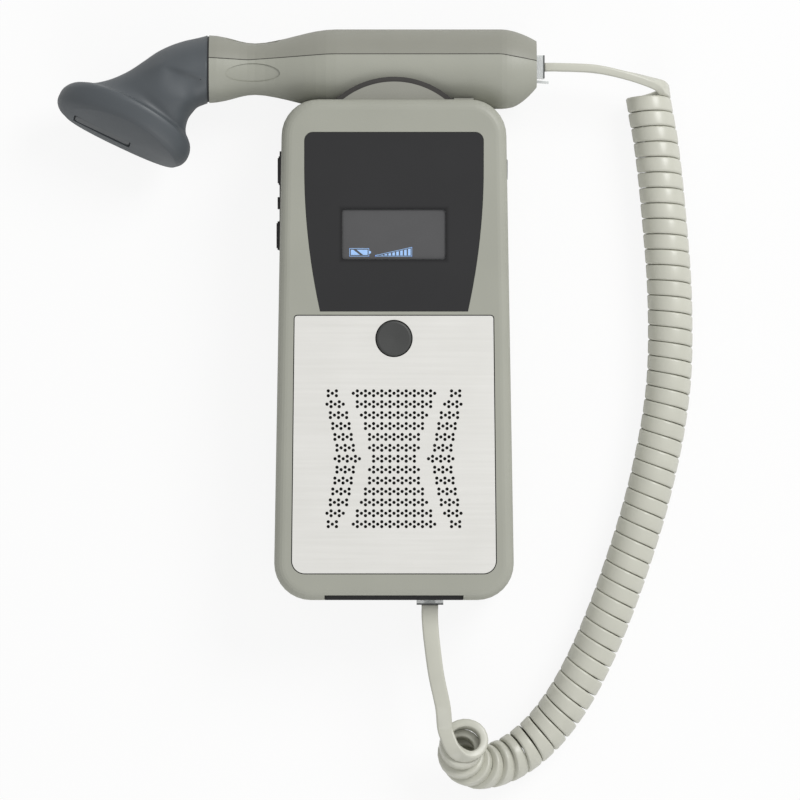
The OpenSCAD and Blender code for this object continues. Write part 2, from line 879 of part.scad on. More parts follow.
module key_strip() {
    outer_x = -half_w(strip_y) - strip_proud;
    color(rubber)
        difference() {
            union() {
                translate([0, strip_y, 0])
                    key_shape(strip_l, strip_w, outer_x, outer_x + strip_t, strip_r);
                translate([0, strip_y, 0])
                    key_shape(nub_l, nub_w, outer_x - nub_proud, outer_x + root, nub_r);
            }
            for (y = [key_up_y, key_down_y])
                key_opening(y, outer_x - 2 * over, outer_x + strip_t + over);
        }
}

module volume_switches() {
    tip_x = key_back_x + key_flange_t + key_travel + switch_press_gap;
    color("#2a2a2c")
        for (y = [key_up_y, key_down_y]) {
            translate([tip_x + 0.8, y - 3, board_z - 4.6])
                cube([3.6, 6, 4.6]);
            translate([tip_x, y - 1.2, parting_z - 0.4])
                cube([0.9, 2.4, 1.6]);
        }
}

socket_mouth_x = half_w(socket_y) + 0.3;

module headphone_socket() {
    body_front_x = half_w(socket_y) - wall - 0.3;
    color("#3a3a3a")
        difference() {
            union() {
                translate([body_front_x - 12.5, socket_y - 3.2, board_z - 7.2])
                    cube([12.5, 6.4, 7.2]);
                translate([body_front_x - 1, socket_y, parting_z])
                    rotate([0, 90, 0])
                        cylinder(h = socket_mouth_x - body_front_x + 1, d = socket_nose_d, $fn = round_fn);
            }
            translate([socket_mouth_x - socket_depth, socket_y, parting_z])
                rotate([0, 90, 0])
                    cylinder(h = socket_depth + over, d = socket_bore_d, $fn = round_fn);
        }
}

module connector_panel() {
    color(black_plastic)
        difference() {
            union() {
                translate([-panel_half_w, -half_h, panel_back_z])
                    cube([2 * panel_half_w, wall + slip, cradle_front_z - panel_back_z - 2 * slip]);
                translate([-panel_half_w - panel_flange_w, -half_h + wall + slip / 2, panel_flange_z])
                    cube([2 * (panel_half_w + panel_flange_w), panel_flange_t, panel_flange_h]);
            }
            translate([jack_x - jack_w / 2 - slip / 2, -half_h - over, jack_z - jack_high - slip / 2])
                cube([jack_w + slip, wall + panel_flange_t + 2 * over, jack_low + jack_high + slip]);
        }
}

// Modular jack with its mouth at y = 0, its depth along +Y and the latch slot toward +Z
module modular_jack(plug_out) {
    difference() {
        translate([-jack_w / 2, 0, -jack_low])
            cube([jack_w, jack_d, jack_low + jack_high]);
        translate([-plug_w / 2 - plug_play, -over, -plug_h / 2 - plug_play])
            cube([plug_w + 2 * plug_play, plug_l - plug_out + over, plug_h + 2 * plug_play]);
        translate([-latch_w / 2 - 0.3, -over, 0])
            cube([latch_w + 0.6, plug_l - plug_out + over, jack_high - 0.4]);
    }
}

// Spring wires of the jack, which reach into the slots of a plug that stands out by plug_out
module jack_wires(plug_out) {
    for (k = [-1.5 : 1 : 1.5])
        translate([k * contact_pitch - contact_w / 2, slot_from_y - plug_out + slip, -plug_h / 2 - plug_play])
            cube([contact_w, slot_len - 2 * slip, wire_rise]);
}

// Modular plug with its cord end at y = 0, its nose toward +Y and its latch toward +Z
module modular_plug() {
    difference() {
        union() {
            translate([-plug_w / 2, 0, -plug_h / 2])
                cube([plug_w, plug_l, plug_h]);
            translate([-latch_w / 2, 0, 0])
                rotate([90, 0, 90])
                    linear_extrude(latch_w)
                        polygon([
                            [plug_l - 0.4, plug_h / 2 - 0.3],
                            [plug_l - 0.4, plug_h / 2 + 0.5],
                            [-1.2, plug_h / 2 + 1.5],
                            [-1.2, plug_h / 2 + 0.8],
                            [plug_l - 2.4, plug_h / 2 - 0.05]
                        ]);
        }
        for (k = [-1.5 : 1 : 1.5])
            translate([k * contact_pitch - contact_slot_w / 2, slot_from_y, -plug_h / 2 - over])
                cube([contact_slot_w, slot_len, over + 1.6]);
        translate([-1.7, 2.2, -plug_h / 2 - over])
            cube([3.4, 2.2, over + 1.2]);
    }
}

module plug_blades() {
    for (k = [-1.5 : 1 : 1.5])
        translate([k * contact_pitch - contact_w / 2, slot_from_y + slip, -plug_h / 2 + wire_rise])
            cube([contact_w, slot_len - 2 * slip, 1.6 - wire_rise]);
}

module at_unit_jack(out) {
    translate([jack_x, -half_h - out, jack_z])
        rotate([0, 180, 0])
            children();
}

module at_probe_jack(out) {
    multmatrix([
        [0, -1, 0, handle_end_x + out],
        [0, 0, -1, probe_jack_y],
        [1, 0, 0, probe_z],
        [0, 0, 0, 1]
    ])
        children();
}

module unit_jack() {
    color("#222223")
        at_unit_jack(0)
            modular_jack(plug_out_unit);
}

module unit_jack_contacts() {
    color(gold)
        at_unit_jack(0)
            jack_wires(plug_out_unit);
}

module probe_jack() {
    color("#222223")
        at_probe_jack(0)
            modular_jack(plug_out_probe);
}

module probe_jack_contacts() {
    color(gold)
        at_probe_jack(0)
            jack_wires(plug_out_probe);
}

module unit_plug() {
    color(clear_plastic)
        at_unit_jack(plug_out_unit)
            modular_plug();
}

module unit_plug_contacts() {
    color(gold)
        at_unit_jack(plug_out_unit)
            plug_blades();
}

module probe_plug() {
    color(clear_plastic)
        at_probe_jack(plug_out_probe)
            modular_plug();
}

module probe_plug_contacts() {
    color(gold)
        at_probe_jack(plug_out_probe)
            plug_blades();
}

module battery_cells() {
    cap_l = 1;
    y_low = bay_bottom_y + bay_gap_end;
    color("#3b6ea5")
        for (k = [-1 : 1])
            translate([k * cell_step, y_low + (k == 0 ? cell_l : 0), cell_z])
                rotate([k == 0 ? 90 : -90, 0, 0]) {
                    cylinder(h = cell_l - cap_l, d = cell_d, $fn = round_fn);
                    cylinder(h = cell_l, d = 5.5, $fn = round_fn);
                }
}

contact_plate_t = 0.4;

module battery_springs() {
    color("#c8c8c8")
        for (k = [-1 : 1], end = [-1, 1])
            if ((k == 0 ? 1 : -1) == end)
                translate([k * cell_step,
                    end < 0 ? bay_bottom_y + contact_plate_t : bay_top_y - contact_plate_t, cell_z])
                    rotate([end < 0 ? -90 : 90, 0, 0])
                        cylinder(h = bay_gap_end - contact_plate_t, r1 = 4.4, r2 = 3, $fn = round_fn);
}

module battery_plates() {
    color("#d0d0cc") {
        for (y = [bay_bottom_y, bay_top_y - contact_plate_t])
            for (k = [-1 : 1])
                translate([k * cell_step - 5.5, y, cell_z - 5])
                    cube([11, contact_plate_t, 10]);
        for (k = [-1 : 1])
            translate([k * cell_step, k == 0 ? bay_bottom_y + bay_gap_end : bay_top_y - bay_gap_end, cell_z])
                rotate([k == 0 ? 90 : -90, 0, 0])
                    cylinder(h = bay_gap_end - contact_plate_t, r = 1.6, $fn = round_fn);
    }
}

module case_screws() {
    color("#9a9a98")
        for (p = screw_places)
            translate([p[0], p[1], 0])
                difference() {
                    union() {
                        hole_z(0, 0, screw_sink, screw_sink + screw_head_h, screw_head_d / 2);
                        hole_z(0, 0, screw_sink + screw_head_h / 2, screw_tip_z, screw_d / 2);
                    }
                    for (turn = [0, 90])
                        rotate([0, 0, turn])
                            translate([-1.5, -0.3, screw_sink - over])
                                cube([3, 0.6, over + 0.9]);
                }
}

// Handle radius along the probe: collar, waist, straight body and rounded cord end
function ease(u) = (1 - cos(180 * u)) / 2;
function handle_radius(x) =
    x < waist_x ? mix(waist_r, collar_r, ease((waist_x - x) / (waist_x - joint_x))) :
    x < waist_x + body_from ? mix(waist_r, handle_r, ease((x - waist_x) / body_from)) :
    x < handle_end_x - end_l ? handle_r :
    handle_r - end_drop * pow((x - handle_end_x + end_l) / end_l, end_curve);
body_from = 23.4;
end_l = 10;
end_drop = 3.4;
end_curve = 1.7;
seal_t = 0.5;
handle_from_x = joint_x + seal_t / 2;
end_wall = 2;
split_rise = 4;
spigot_r = 6.4;
spigot_l = 5;

function handle_stations() = concat(
    [for (k = [0 : 6]) mix(handle_from_x, waist_x, k / 6)],
    [for (k = [1 : 8]) waist_x + body_from * k / 8],
    [for (k = [0 : 7]) handle_end_x - end_l + end_l * k / 7]
);

module handle_revolve(inset, x_from, x_to) {
    inner = [for (x = handle_stations()) if (x > x_from + 0.2 && x < x_to - 0.2) x];
    stations = concat([x_from], inner, [x_to]);
    translate([0, probe_y, probe_z])
        rotate([0, 90, 0])
            rotate_extrude($fn = round_fn)
                polygon(concat(
                    [[0, x_from]],
                    [for (x = stations) [handle_radius(x) - inset, x]],
                    [[0, x_to]]
                ));
}

// Cut that draws the underside of the cord end up toward the jack
scoop_l = 9.4;
scoop_h = 6.4;
scoop_curve = 1.8;
module end_scoop(inset) {
    low = -handle_r - 6;
    translate([0, probe_y, 0])
        linear_extrude(case_t + 10)
            polygon(concat(
                [
                    for (k = [0 : 8])
                        [
                            handle_end_x - scoop_l * (1 - k / 8) + 0.1,
                            -handle_r - 0.1 + scoop_h * pow(k / 8, scoop_curve) + inset
                        ]
                ],
                [[handle_end_x + 3, low], [handle_end_x - scoop_l, low]]
            ));
}

module above_split(gap) {
    top = handle_r + 5;
    translate([0, probe_y, -over])
        linear_extrude(case_t + 10)
            polygon([
                [joint_x - 1, 3.1 + gap],
                [waist_x - 2, 2.4 + gap],
                [waist_x + body_from - 2, split_rise + gap],
                [handle_end_x - end_l, split_rise + gap],
                [handle_end_x + 1, 2 + gap],
                [handle_end_x + 1, top],
                [joint_x - 1, top]
            ]);
}

// Four shallow oval finger rests round the waist, sunk evenly into its curved surface
rest_l = 15.8;
rest_w = 5.4;
rest_depth = 0.35;
rest_turn = 10;
module finger_rests() {
    for (turn = [0 : 90 : 270])
        translate([waist_x - 0.6, probe_y, probe_z])
            rotate([turn + rest_turn, 0, 0])
                linear_extrude(handle_r)
                    polygon([
                        for (a = [0 : 12 : 348])
                            [rest_l / 2 * cos(a), rest_w / 2 * sin(a)]
                    ]);
}

module handle_shell() {
    difference() {
        union() {
            difference() {
                handle_revolve(0, handle_from_x, handle_end_x);
                handle_revolve(handle_wall, handle_from_x + 1.4, handle_end_x - end_wall);
            }
            children();
        }
        end_scoop(0);
        difference() {
            finger_rests();
            handle_revolve(rest_depth, handle_from_x, handle_end_x);
        }
        translate([handle_from_x - over, probe_y, probe_z])
            rotate([0, 90, 0])
                cylinder(h = 4, r = spigot_r + 0.1, $fn = round_fn);
        at_probe_jack(over)
            translate([-jack_w / 2 - slip, 0, -jack_low - slip])
                cube([jack_w + 2 * slip, jack_d + over, jack_low + jack_high + 2 * slip]);
    }
}

probe_board_y = probe_jack_y - jack_high - 1.6;

module probe_lower_shell() {
    color(beige)
        difference() {
            handle_shell()
                for (x = [-12, 18])
                    translate([x, probe_y - handle_r + handle_wall - 0.6, probe_z - 4.5])
                        cube([1.6, probe_board_y - probe_y + handle_r - handle_wall + 0.6, 9]);
            above_split(0);
        }
}

module probe_upper_shell() {
    color(beige)
        intersection() {
            handle_shell();
            above_split(0.02);
        }
}

module probe_seal() {
    color("#26282a")
        translate([joint_x - seal_t / 2, probe_y, probe_z])
            rotate([0, 90, 0])
                difference() {
                    cylinder(h = seal_t, r = collar_r - 0.3, $fn = round_fn);
                    translate([0, 0, -over])
                        cylinder(h = seal_t + 2 * over, r = spigot_r, $fn = round_fn);
                }
}

// Sections of the head, each from its upper outline point to its lower one, measured from the middle of the
// joint, with the share of the face's extra depth and the share of the tilt that it has
head_sections = [
    [[-3.2, 8.95], [-1.4, -10.25], 0.01, 0],
    [[-7, 8.1], [-3.3, -11.1], 0.03, 0],
    [[-10.9, 6.8], [-4.7, -12.6], 0.06, 0.05],
    [[-14.9, 4.85], [-5.8, -14.2], 0.1, 0.15],
    [[-18.9, 2.1], [-6.4, -16], 0.17, 0.3],
    [[-23.2, -0.7], [-6.6, -17.6], 0.28, 0.45],
    [[-28.2, -2.95], [-6.45, -18.9], 0.45, 0.6],
    [[-33, -4.15], [-6, -20], 0.66, 0.75],
    [[-36.6, -4.15], [-5.6, -21.2], 0.8, 0.85],
    [[-39.6, -4.4], [-5.35, -22.5], 0.91, 0.92],
    [[-41.9, -5.7], [-5.4, -23.8], 0.97, 0.97],
    [[-43.1, -7.6], [-5.8, -25.1], 1, 1],
    [[-43.5, -9.2], [-6.5, -26.3], 0.95, 1],
    [[-43, -11], [-7.7, -27.3], 0.78, 1],
    [[-41.6, -12.6], [-9.4, -27.85], 0.46, 1]
];
head_points = 28;
face_bulge = 0.7;
function head_major(s) = unit([s[0][0] - s[1][0], s[0][1] - s[1][1], 0]);
function head_mid(s) = [joint_x + (s[0][0] + s[1][0]) / 2, probe_y + (s[0][1] + s[1][1]) / 2, probe_z];
function head_out(s) = let(e = head_major(s), tilt = face_tilt * s[3])
    [-e[1] * cos(tilt), e[0] * cos(tilt), sin(tilt)];
function head_minor(s) = let(e = head_major(s), tilt = face_tilt * s[3])
    [e[1] * sin(tilt), -e[0] * sin(tilt), cos(tilt)];
function head_ring(s, share, push) =
    let(a = norm(s[0] - s[1]) / 2 * share, d = mix(collar_r, face_half_depth, s[2]) * share)
    [for (k = [0 : head_points - 1])
        head_mid(s) + push * head_out(s)
            + a * sin(360 * k / head_points) * head_major(s)
            + d * cos(360 * k / head_points) * head_minor(s)];
function neck_ring(x) =
    [for (k = [0 : head_points - 1])
        let(a = 360 * k / head_points)
        [x, probe_y + collar_r * sin(a), probe_z + collar_r * cos(a)]];
face = head_sections[len(head_sections) - 1];

// Flat space in the face, on the frame of its last section
module on_face(along, w, l, z_low, z_high) {
    e = head_major(face);
    n = head_out(face);
    m = head_minor(face);
    c = head_mid(face) + along * e;
    multmatrix([
        [m[0], e[0], n[0], c[0]],
        [m[1], e[1], n[1], c[1]],
        [m[2], e[2], n[2], c[2]],
        [0, 0, 0, 1]
    ])
        translate([-w / 2, -l / 2, z_low])
            cube([w, l, z_high - z_low]);
}

slot_l = 18;
slot_w = 6;
slot_along = 5.7;
slot_depth = 0.5;
lens_t = 1.6;
lens_z = face_bulge - slot_depth;
crystal_t = 3;

module probe_head() {
    color(head_grey)
        difference() {
            union() {
                skin(concat(
                    [neck_ring(joint_x - seal_t / 2)],
                    [for (s = head_sections) head_ring(s, 1, 0)],
                    [head_ring(face, 0.86, face_bulge * 0.55), head_ring(face, 0.62, face_bulge * 0.9),
                        head_ring(face, 0.3, face_bulge)]
                ));
                translate([joint_x - 3, probe_y, probe_z])
                    rotate([0, 90, 0])
                        cylinder(h = 3 + spigot_l, r = spigot_r, $fn = round_fn);
            }
            on_face(slot_along, slot_w, slot_l, lens_z - lens_t - crystal_t, face_bulge + over);
        }
}

module probe_window() {
    color("#3e4144")
        on_face(slot_along, slot_w, slot_l, lens_z - lens_t, lens_z);
}

module crystal_block() {
    color("#b9a98a")
        on_face(slot_along, slot_w, slot_l, lens_z - lens_t - crystal_t, lens_z - lens_t);
}

module probe_board() {
    color(board_green)
        translate([-24, probe_board_y, probe_z - 5])
            cube([58, 1.6, 10]);
}

// Turning along the coil, added up in small steps
coil_last = len(coil_route) - 1;
coil_places = [for (i = [0 : coil_samples]) i * coil_last / coil_samples];
coil_middle = [for (t = coil_places) curve(coil_route, t)];
coil_turn_steps = [
    for (i = [1 : coil_samples])
        360 * norm(coil_middle[i] - coil_middle[i - 1]) / curl_pitch
];
coil_turns = [
    for (i = 0, sum = 0; i <= coil_samples; sum = sum + (i < coil_samples ? coil_turn_steps[i] : 0), i = i + 1)
        sum
];
turn_places = [for (i = [0 : coil_samples]) [coil_turns[i], coil_places[i]]];
end_turn = coil_start_turn - coil_end_turn;
coil_curls = floor((coil_turns[coil_samples] - end_turn) / 360) + end_turn / 360;
last_turn = 360 * coil_curls;

// Direction that the curls are wound round: along the route, leaning upright near the unit's end
function coil_axis(t) =
    let(along = unit(curve(coil_route, min(coil_last, t + 1)) - curve(coil_route, max(0, t - 1))),
        rise = lean * ease(clamp((t - lean_from) / (coil_last - lean_from), 0, 1)))
    unit(along + [0, 0, rise]);
function coil_out(turn) =
    let(axis = coil_axis(lookup(turn, turn_places)),
        side = -unit(cross(axis, [0, 0, 1])),
        up = cross(axis, side))
    cos(coil_start_turn - turn) * side + sin(coil_start_turn - turn) * up;
function coil_point(turn, r) = curve(coil_route, lookup(turn, turn_places)) + r * coil_out(turn);
function coil_dir(turn) =
    unit(coil_point(min(last_turn, turn + 2), coil_r) - coil_point(max(0, turn - 2), coil_r));
function coil_normal(turn) =
    let(along = coil_dir(turn),
        u = unwind_share * ease(clamp((turn - last_turn + unwind_turn) / unwind_turn, 0, 1)),
        n = mix(coil_out(turn), coil_axis(lookup(turn, turn_places)), u))
    unit(n - (n * along) * along);

// Width of the wound cord: narrower where the next curl leaves less room
function curl_room(turn, other) = norm(coil_point(turn, coil_d / 2) - coil_point(other, coil_d / 2));
function curl_width(turn) =
    let(ahead = turn + 360 > last_turn ? 2 * wound_w : curl_room(turn, turn + 360),
        behind = turn < 360 ? 2 * wound_w : curl_room(turn, turn - 360))
    clamp(min(ahead, behind) - curl_gap, wound_least_w, wound_w);

// One ring of the flat cord at p, lying across the direction d with its flat side toward n
function flat_ring(p, d, n, w, t, corners) =
    let(u = cross(n, d))
    [for (c = corners) p + c[0] * w / 2 * u + c[1] * t / 2 * n];
six_corners = [[1, 0], [0.72, 1], [-0.72, 1], [-1, 0], [-0.72, -1], [0.72, -1]];
eight_corners = [[1, 0.45], [0.8, 1], [-0.8, 1], [-1, 0.45], [-1, -0.45], [-0.8, -1], [0.8, -1], [1, -0.45]];

// Ring of the coil at a turn, moved by ahead along the cord
function coil_ring(turn, ahead) =
    flat_ring(coil_point(turn, coil_r) + ahead * coil_dir(turn), coil_dir(turn), coil_normal(turn),
        curl_width(turn), cord_t, six_corners);
function coil_rings() =
    concat(
        [coil_ring(0, -tail_bend)],
        [for (k = [0 : floor(coil_curls * rings_per_curl)]) coil_ring(k * 360 / rings_per_curl, 0)],
        [coil_ring(last_turn, 0), coil_ring(last_turn, tail_bend)]
    );

// Least distance between points of rings that lie about one curl apart
function least_gap(rings) =
    min([
        for (i = [0 : len(rings) - rings_per_curl - 3], j = [i + rings_per_curl - 2 : i + rings_per_curl + 2])
            min([for (a = rings[i], b = rings[j]) norm(a - b)])
    ]);

module cord_coil() {
    rings = coil_rings();
    echo(curls = coil_curls, least_gap = least_gap(rings));
    color(cord_colour)
        skin(rings);
}

function between(p, t) = let(i = clamp(floor(t), 0, len(p) - 2)) mix(p[i], p[i + 1], t - i);
function route_dir(p, t) =
    let(last = len(p) - 1)
    t == 0 ? unit(p[1] - p[0]) : t == last ? unit(p[last] - p[last - 1]) : curve_dir(p, t);

// Tail of the cord along its route, with its flat side turned to the normal given for each route point
module cord_tail(route, normals) {
    per_piece = 4;
    last = (len(route) - 1) * per_piece;
    color(cord_colour)
        skin([
            for (k = [0 : last])
                let(t = k / per_piece, d = route_dir(route, t), n = between(normals, t))
                flat_ring(curve(route, t), d, unit(n - (n * d) * d),
                    mix(cord_w, wound_w, k / last), cord_t, eight_corners)
        ]);
}

module cord_tail_probe() {
    exit = [handle_end_x + plug_out_probe, probe_jack_y, probe_z];
    meet = coil_point(0, coil_r) - (tail_bend + tail_gap) * coil_dir(0);
    first = coil_normal(0);
    cord_tail(
        concat(
            [exit, exit + [tail_straight, 0, 0]],
            probe_tail_route,
            [meet - tail_bend * coil_dir(0), meet]
        ),
        [[0, 1, 0], [0, 1, 0], [0, 1, 0], [0, 1, 0.1], [0.5, 0.8, 0.3], first, first]
    );
}

module cord_tail_unit() {
    exit = [jack_x, -half_h - plug_out_unit, jack_z];
    meet = coil_point(last_turn, coil_r) + tail_bend * coil_dir(last_turn);
    last = coil_normal(last_turn);
    cord_tail(
        concat(
            [exit, exit - [0, tail_straight, 0]],
            unit_tail_route,
            [meet + tail_straight * coil_dir(last_turn), meet]
        ),
        [[0, 0, 1], [0, 0, 1], [0, 0, 1], [0, 0, 1], last, last]
    );
}

front_cover();
rear_cover();
cradle();
cradle_liner();
display_overlay();
display_window();
display_module();
grille_plate();
grille_felt();
speaker_gasket();
speaker_frame();
speaker_cone();
speaker_magnet();
power_button();
power_switch();
main_board();
key_strip();
volume_up_key();
volume_down_key();
volume_switches();
headphone_socket();
connector_panel();
unit_jack();
unit_jack_contacts();
battery_door();
battery_cells();
battery_springs();
battery_plates();
case_screws();
probe_upper_shell();
probe_lower_shell();
probe_head();
probe_seal();
probe_window();
crystal_block();
probe_board();
probe_jack();
probe_jack_contacts();
probe_plug();
probe_plug_contacts();
cord_tail_probe();
cord_coil();
cord_tail_unit();
unit_plug();
unit_plug_contacts();
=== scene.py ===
import math

import bmesh
import bpy
import numpy as np
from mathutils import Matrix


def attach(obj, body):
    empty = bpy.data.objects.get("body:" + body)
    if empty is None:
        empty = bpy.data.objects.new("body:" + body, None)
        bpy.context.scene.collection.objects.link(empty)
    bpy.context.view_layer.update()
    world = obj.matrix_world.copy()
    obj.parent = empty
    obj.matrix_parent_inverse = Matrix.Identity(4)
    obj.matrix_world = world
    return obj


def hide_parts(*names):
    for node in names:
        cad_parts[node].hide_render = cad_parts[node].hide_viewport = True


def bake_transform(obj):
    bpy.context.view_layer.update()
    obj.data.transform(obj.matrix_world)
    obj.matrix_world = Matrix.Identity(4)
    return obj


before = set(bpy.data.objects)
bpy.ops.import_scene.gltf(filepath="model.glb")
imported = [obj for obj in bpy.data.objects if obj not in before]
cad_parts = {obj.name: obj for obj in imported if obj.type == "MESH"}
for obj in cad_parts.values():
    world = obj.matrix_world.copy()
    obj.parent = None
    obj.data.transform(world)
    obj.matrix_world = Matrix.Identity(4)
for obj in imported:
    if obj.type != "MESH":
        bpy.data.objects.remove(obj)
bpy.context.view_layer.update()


# Case of the main unit: a front and a rear cover moulded in warm grey ABS with a fine matt
# texture, held together by four zinc plated screws from the back. The battery door slides in the
# rear cover.
class Shade:
    """A socket of a finish. Arithmetic on it adds Math nodes, and node() adds any other node."""

    def __init__(self, socket):
        self.socket = socket
        self.tree = socket.id_data

    def node(self, kind, plugs, output=0, **settings):
        made = self.tree.nodes.new("ShaderNode" + kind)
        for name, value in settings.items():
            setattr(made, name, value)
        for name, value in plugs.items():
            if isinstance(value, Shade):
                self.tree.links.new(value.socket, made.inputs[name])
            else:
                made.inputs[name].default_value = value
        return Shade(made.outputs[output])

    def maths(self, operation, *values):
        return self.node("Math", dict(enumerate(values)), operation=operation)

    def __add__(self, other):
        return self.maths("ADD", self, other)

    def __sub__(self, other):
        return self.maths("SUBTRACT", self, other)

    def __rsub__(self, other):
        return self.maths("SUBTRACT", other, self)

    def __mul__(self, other):
        return self.maths("MULTIPLY", self, other)

    __radd__ = __add__
    __rmul__ = __mul__

    def above(self, edge, softness):
        """1 where the value is over the edge, 0 below it, with a soft step between."""
        ends = {"From Min": edge - softness, "From Max": edge + softness}
        return self.node("MapRange", {"Value": self, **ends}, interpolation_type="SMOOTHSTEP")

    def noise(self, scale, detail=2.0, stretch=(1, 1, 1)):
        """Value round 0.5 of a noise laid over the place that this shade holds."""
        place = self.node("VectorMath", {0: self, 1: stretch}, operation="MULTIPLY")
        return self.node("TexNoise", {"Vector": place, "Scale": scale, "Detail": detail})

    def mixed(self, low, high):
        """Colour from low to high as this value goes from 0 to 1."""
        return self.node("Mix", {0: self, 6: low, 7: high}, output=2, data_type="RGBA")

    def axes(self):
        split = self.node("SeparateXYZ", {0: self})
        outputs = split.socket.node.outputs
        return Shade(outputs[0]), Shade(outputs[1]), Shade(outputs[2])


def paint(red, green, blue):
    """Colour given as it looks on a screen, 0 to 255, made into light values."""
    light = [c / 255 / 12.92 if c <= 10 else ((c / 255 + 0.055) / 1.055) ** 2.4
             for c in (red, green, blue)]
    return (*light, 1.0)


class Finish:
    """A material with its main shader, and the place of each point at rest in metres."""

    def __init__(self, name, **constants):
        self.material = bpy.data.materials.new(name)
        self.material.use_nodes = True
        tree = self.material.node_tree
        self.shader = tree.nodes["Principled BSDF"]
        self.place = Shade(tree.nodes.new("ShaderNodeTexCoord").outputs["Object"])
        self.set(constants)

    def set(self, values):
        for name, value in values.items():
            plug = self.shader.inputs[name]
            if isinstance(value, Shade):
                self.shader.id_data.links.new(value.socket, plug)
            else:
                plug.default_value = value
        return self

    def relief(self, height, depth):
        """Surface relief from a height between 0 and 1, depth metres from low to high."""
        bump = self.place.node("Bump", {"Height": height, "Distance": depth, "Strength": 1.0})
        return self.set({"Normal": bump})

    def on(self, *nodes):
        for node in nodes:
            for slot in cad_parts[node].material_slots:
                slot.material = self.material
        return self


def tinted(place, colour, amount, scale):
    """Colour that drifts a little lighter and darker over the surface."""
    light = tuple(min(1.0, c * (1 + amount)) for c in colour[:3]) + (1.0,)
    dark = tuple(c * (1 - amount) for c in colour[:3]) + (1.0,)
    return place.noise(scale, 3.0).above(0.5, 0.28).mixed(dark, light)


def moulded(name, colour, drift=0.025, roughness=0.42, grain=2400.0, depth=0.00003, **constants):
    """Moulded plastic: colour drift, handled and dull patches, and a fine spark-eroded texture.

    grain is the scale of that texture, and depth its height in metres.
    """
    made = Finish(name, IOR=1.5, **constants)
    patches = made.place.noise(70.0, 4.0).above(0.52, 0.2)
    made.set({"Base Color": tinted(made.place, colour, drift, 55.0),
              "Roughness": roughness + 0.1 * patches + 0.08 * made.place.noise(900.0)})
    return made.relief(made.place.noise(grain, 3.0), depth)


moulded("case_grey_front", paint(162, 163, 152)).on("front_cover")
moulded("case_grey_rear", paint(159, 160, 149)).on("rear_cover", "battery_door")
screw_zinc = moulded("screw_zinc", paint(168, 168, 166), drift=0.08, roughness=0.24,
                     grain=5000.0, depth=0.00001, Metallic=1.0)
screw_zinc.on("case_screws")


# Battery bay under the sliding door: three AA cells in a printed sleeve with bare steel ends.
# Nickel plated springs and contact plates, pushed into slots of the rear cover, hold them.
SLEEVE_FROM_Y, SLEEVE_TO_Y, SLEEVE_EDGE = -0.0535, -0.0175, 0.0002
cell = Finish("cell_sleeve", IOR=1.45)
_, cell_y, _ = cell.place.axes()
sleeve = cell_y.above(SLEEVE_FROM_Y, SLEEVE_EDGE) * (1 - cell_y.above(SLEEVE_TO_Y, SLEEVE_EDGE))
cell.set({"Base Color": sleeve.mixed(paint(176, 178, 180), paint(56, 92, 128)),
          "Roughness": 0.26 + 0.14 * cell.place.noise(240.0),
          "Metallic": 0.85 - 0.6 * sleeve})
cell.relief(cell.place.noise(1500.0), 0.00001)
cell.on("battery_cells")
nickel = moulded("contact_nickel", paint(200, 199, 194), drift=0.05, roughness=0.2, grain=3800.0,
                 depth=0.00001, Metallic=1.0)
nickel.on("battery_springs", "battery_plates")


# Electronics: the main board with its push switches behind the keys, the modular jack of the cord
# with four gold plated wires, and the same jack and a small board in the probe's handle.
board = moulded("board_green", paint(38, 92, 58), drift=0.12, roughness=0.3, grain=1400.0,
                depth=0.00002)
board.on("main_board", "probe_board")
switches = moulded("switch_black", paint(34, 34, 36), drift=0.05, roughness=0.45)
switches.on("power_switch", "volume_switches", "unit_jack", "probe_jack")
gold = moulded("contact_gold", paint(214, 178, 96), drift=0.05, roughness=0.2, grain=3000.0,
               depth=0.00001, Metallic=1.0)
gold.on("unit_jack_contacts", "probe_jack_contacts", "unit_plug_contacts", "probe_plug_contacts")


# Speaker behind the grille: a paper cone and a foam ring in a steel basket with a plated magnet. A
# black felt disc keeps dust out, and it is what shows through the holes.
felt = moulded("acoustic_felt", paint(20, 20, 22), drift=0.3, roughness=0.85, grain=3000.0,
               depth=0.0003)
felt.on("grille_felt")
cone = moulded("cone_paper", paint(46, 45, 44), drift=0.12, roughness=0.8, grain=1600.0,
               depth=0.0001)
cone.on("speaker_cone")
basket = moulded("basket_black", paint(34, 34, 36), drift=0.08, roughness=0.4)
basket.on("speaker_gasket", "speaker_frame")
magnet = moulded("magnet_plating", paint(150, 150, 150), drift=0.08, roughness=0.28, grain=3000.0,
                 depth=0.00001, Metallic=1.0)
magnet.on("speaker_magnet")


# Grille plate: a sheet of satin stainless steel, ground across, with some five hundred punched
# holes. It is stuck into a recess of the front cover, and a black ring of painted shadow fills the
# gap round it.
satin = Finish("satin_steel", Metallic=0.35, IOR=1.5)
grind = satin.place.noise(1100.0, 4.0, (0.03, 1, 1))
satin.set({"Base Color": (0.5 * grind + 0.5 * satin.place.noise(60.0, 3.0)).above(0.5, 0.35)
           .mixed(paint(228, 227, 222), paint(237, 236, 232)),
           "Roughness": 0.46 + 0.14 * grind})
satin.relief(grind, 0.000006)
satin.on("grille_plate")


def piece(name, points, faces, finish, body, smooth=True):
    """Mesh object of this name, in metres, that rides on a body and has one finish."""
    mesh = bpy.data.meshes.new(name)
    mesh.from_pydata([tuple(p) for p in points], [], faces)
    mesh.materials.append(finish.material)
    bm = bmesh.new()
    bm.from_mesh(mesh)
    bmesh.ops.recalc_face_normals(bm, faces=bm.faces)
    bm.to_mesh(mesh)
    bm.free()
    mesh.shade_smooth() if smooth else mesh.shade_flat()
    made = bpy.data.objects.new(name, mesh)
    bpy.context.scene.collection.objects.link(made)
    if body:
        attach(made, body)
    return made


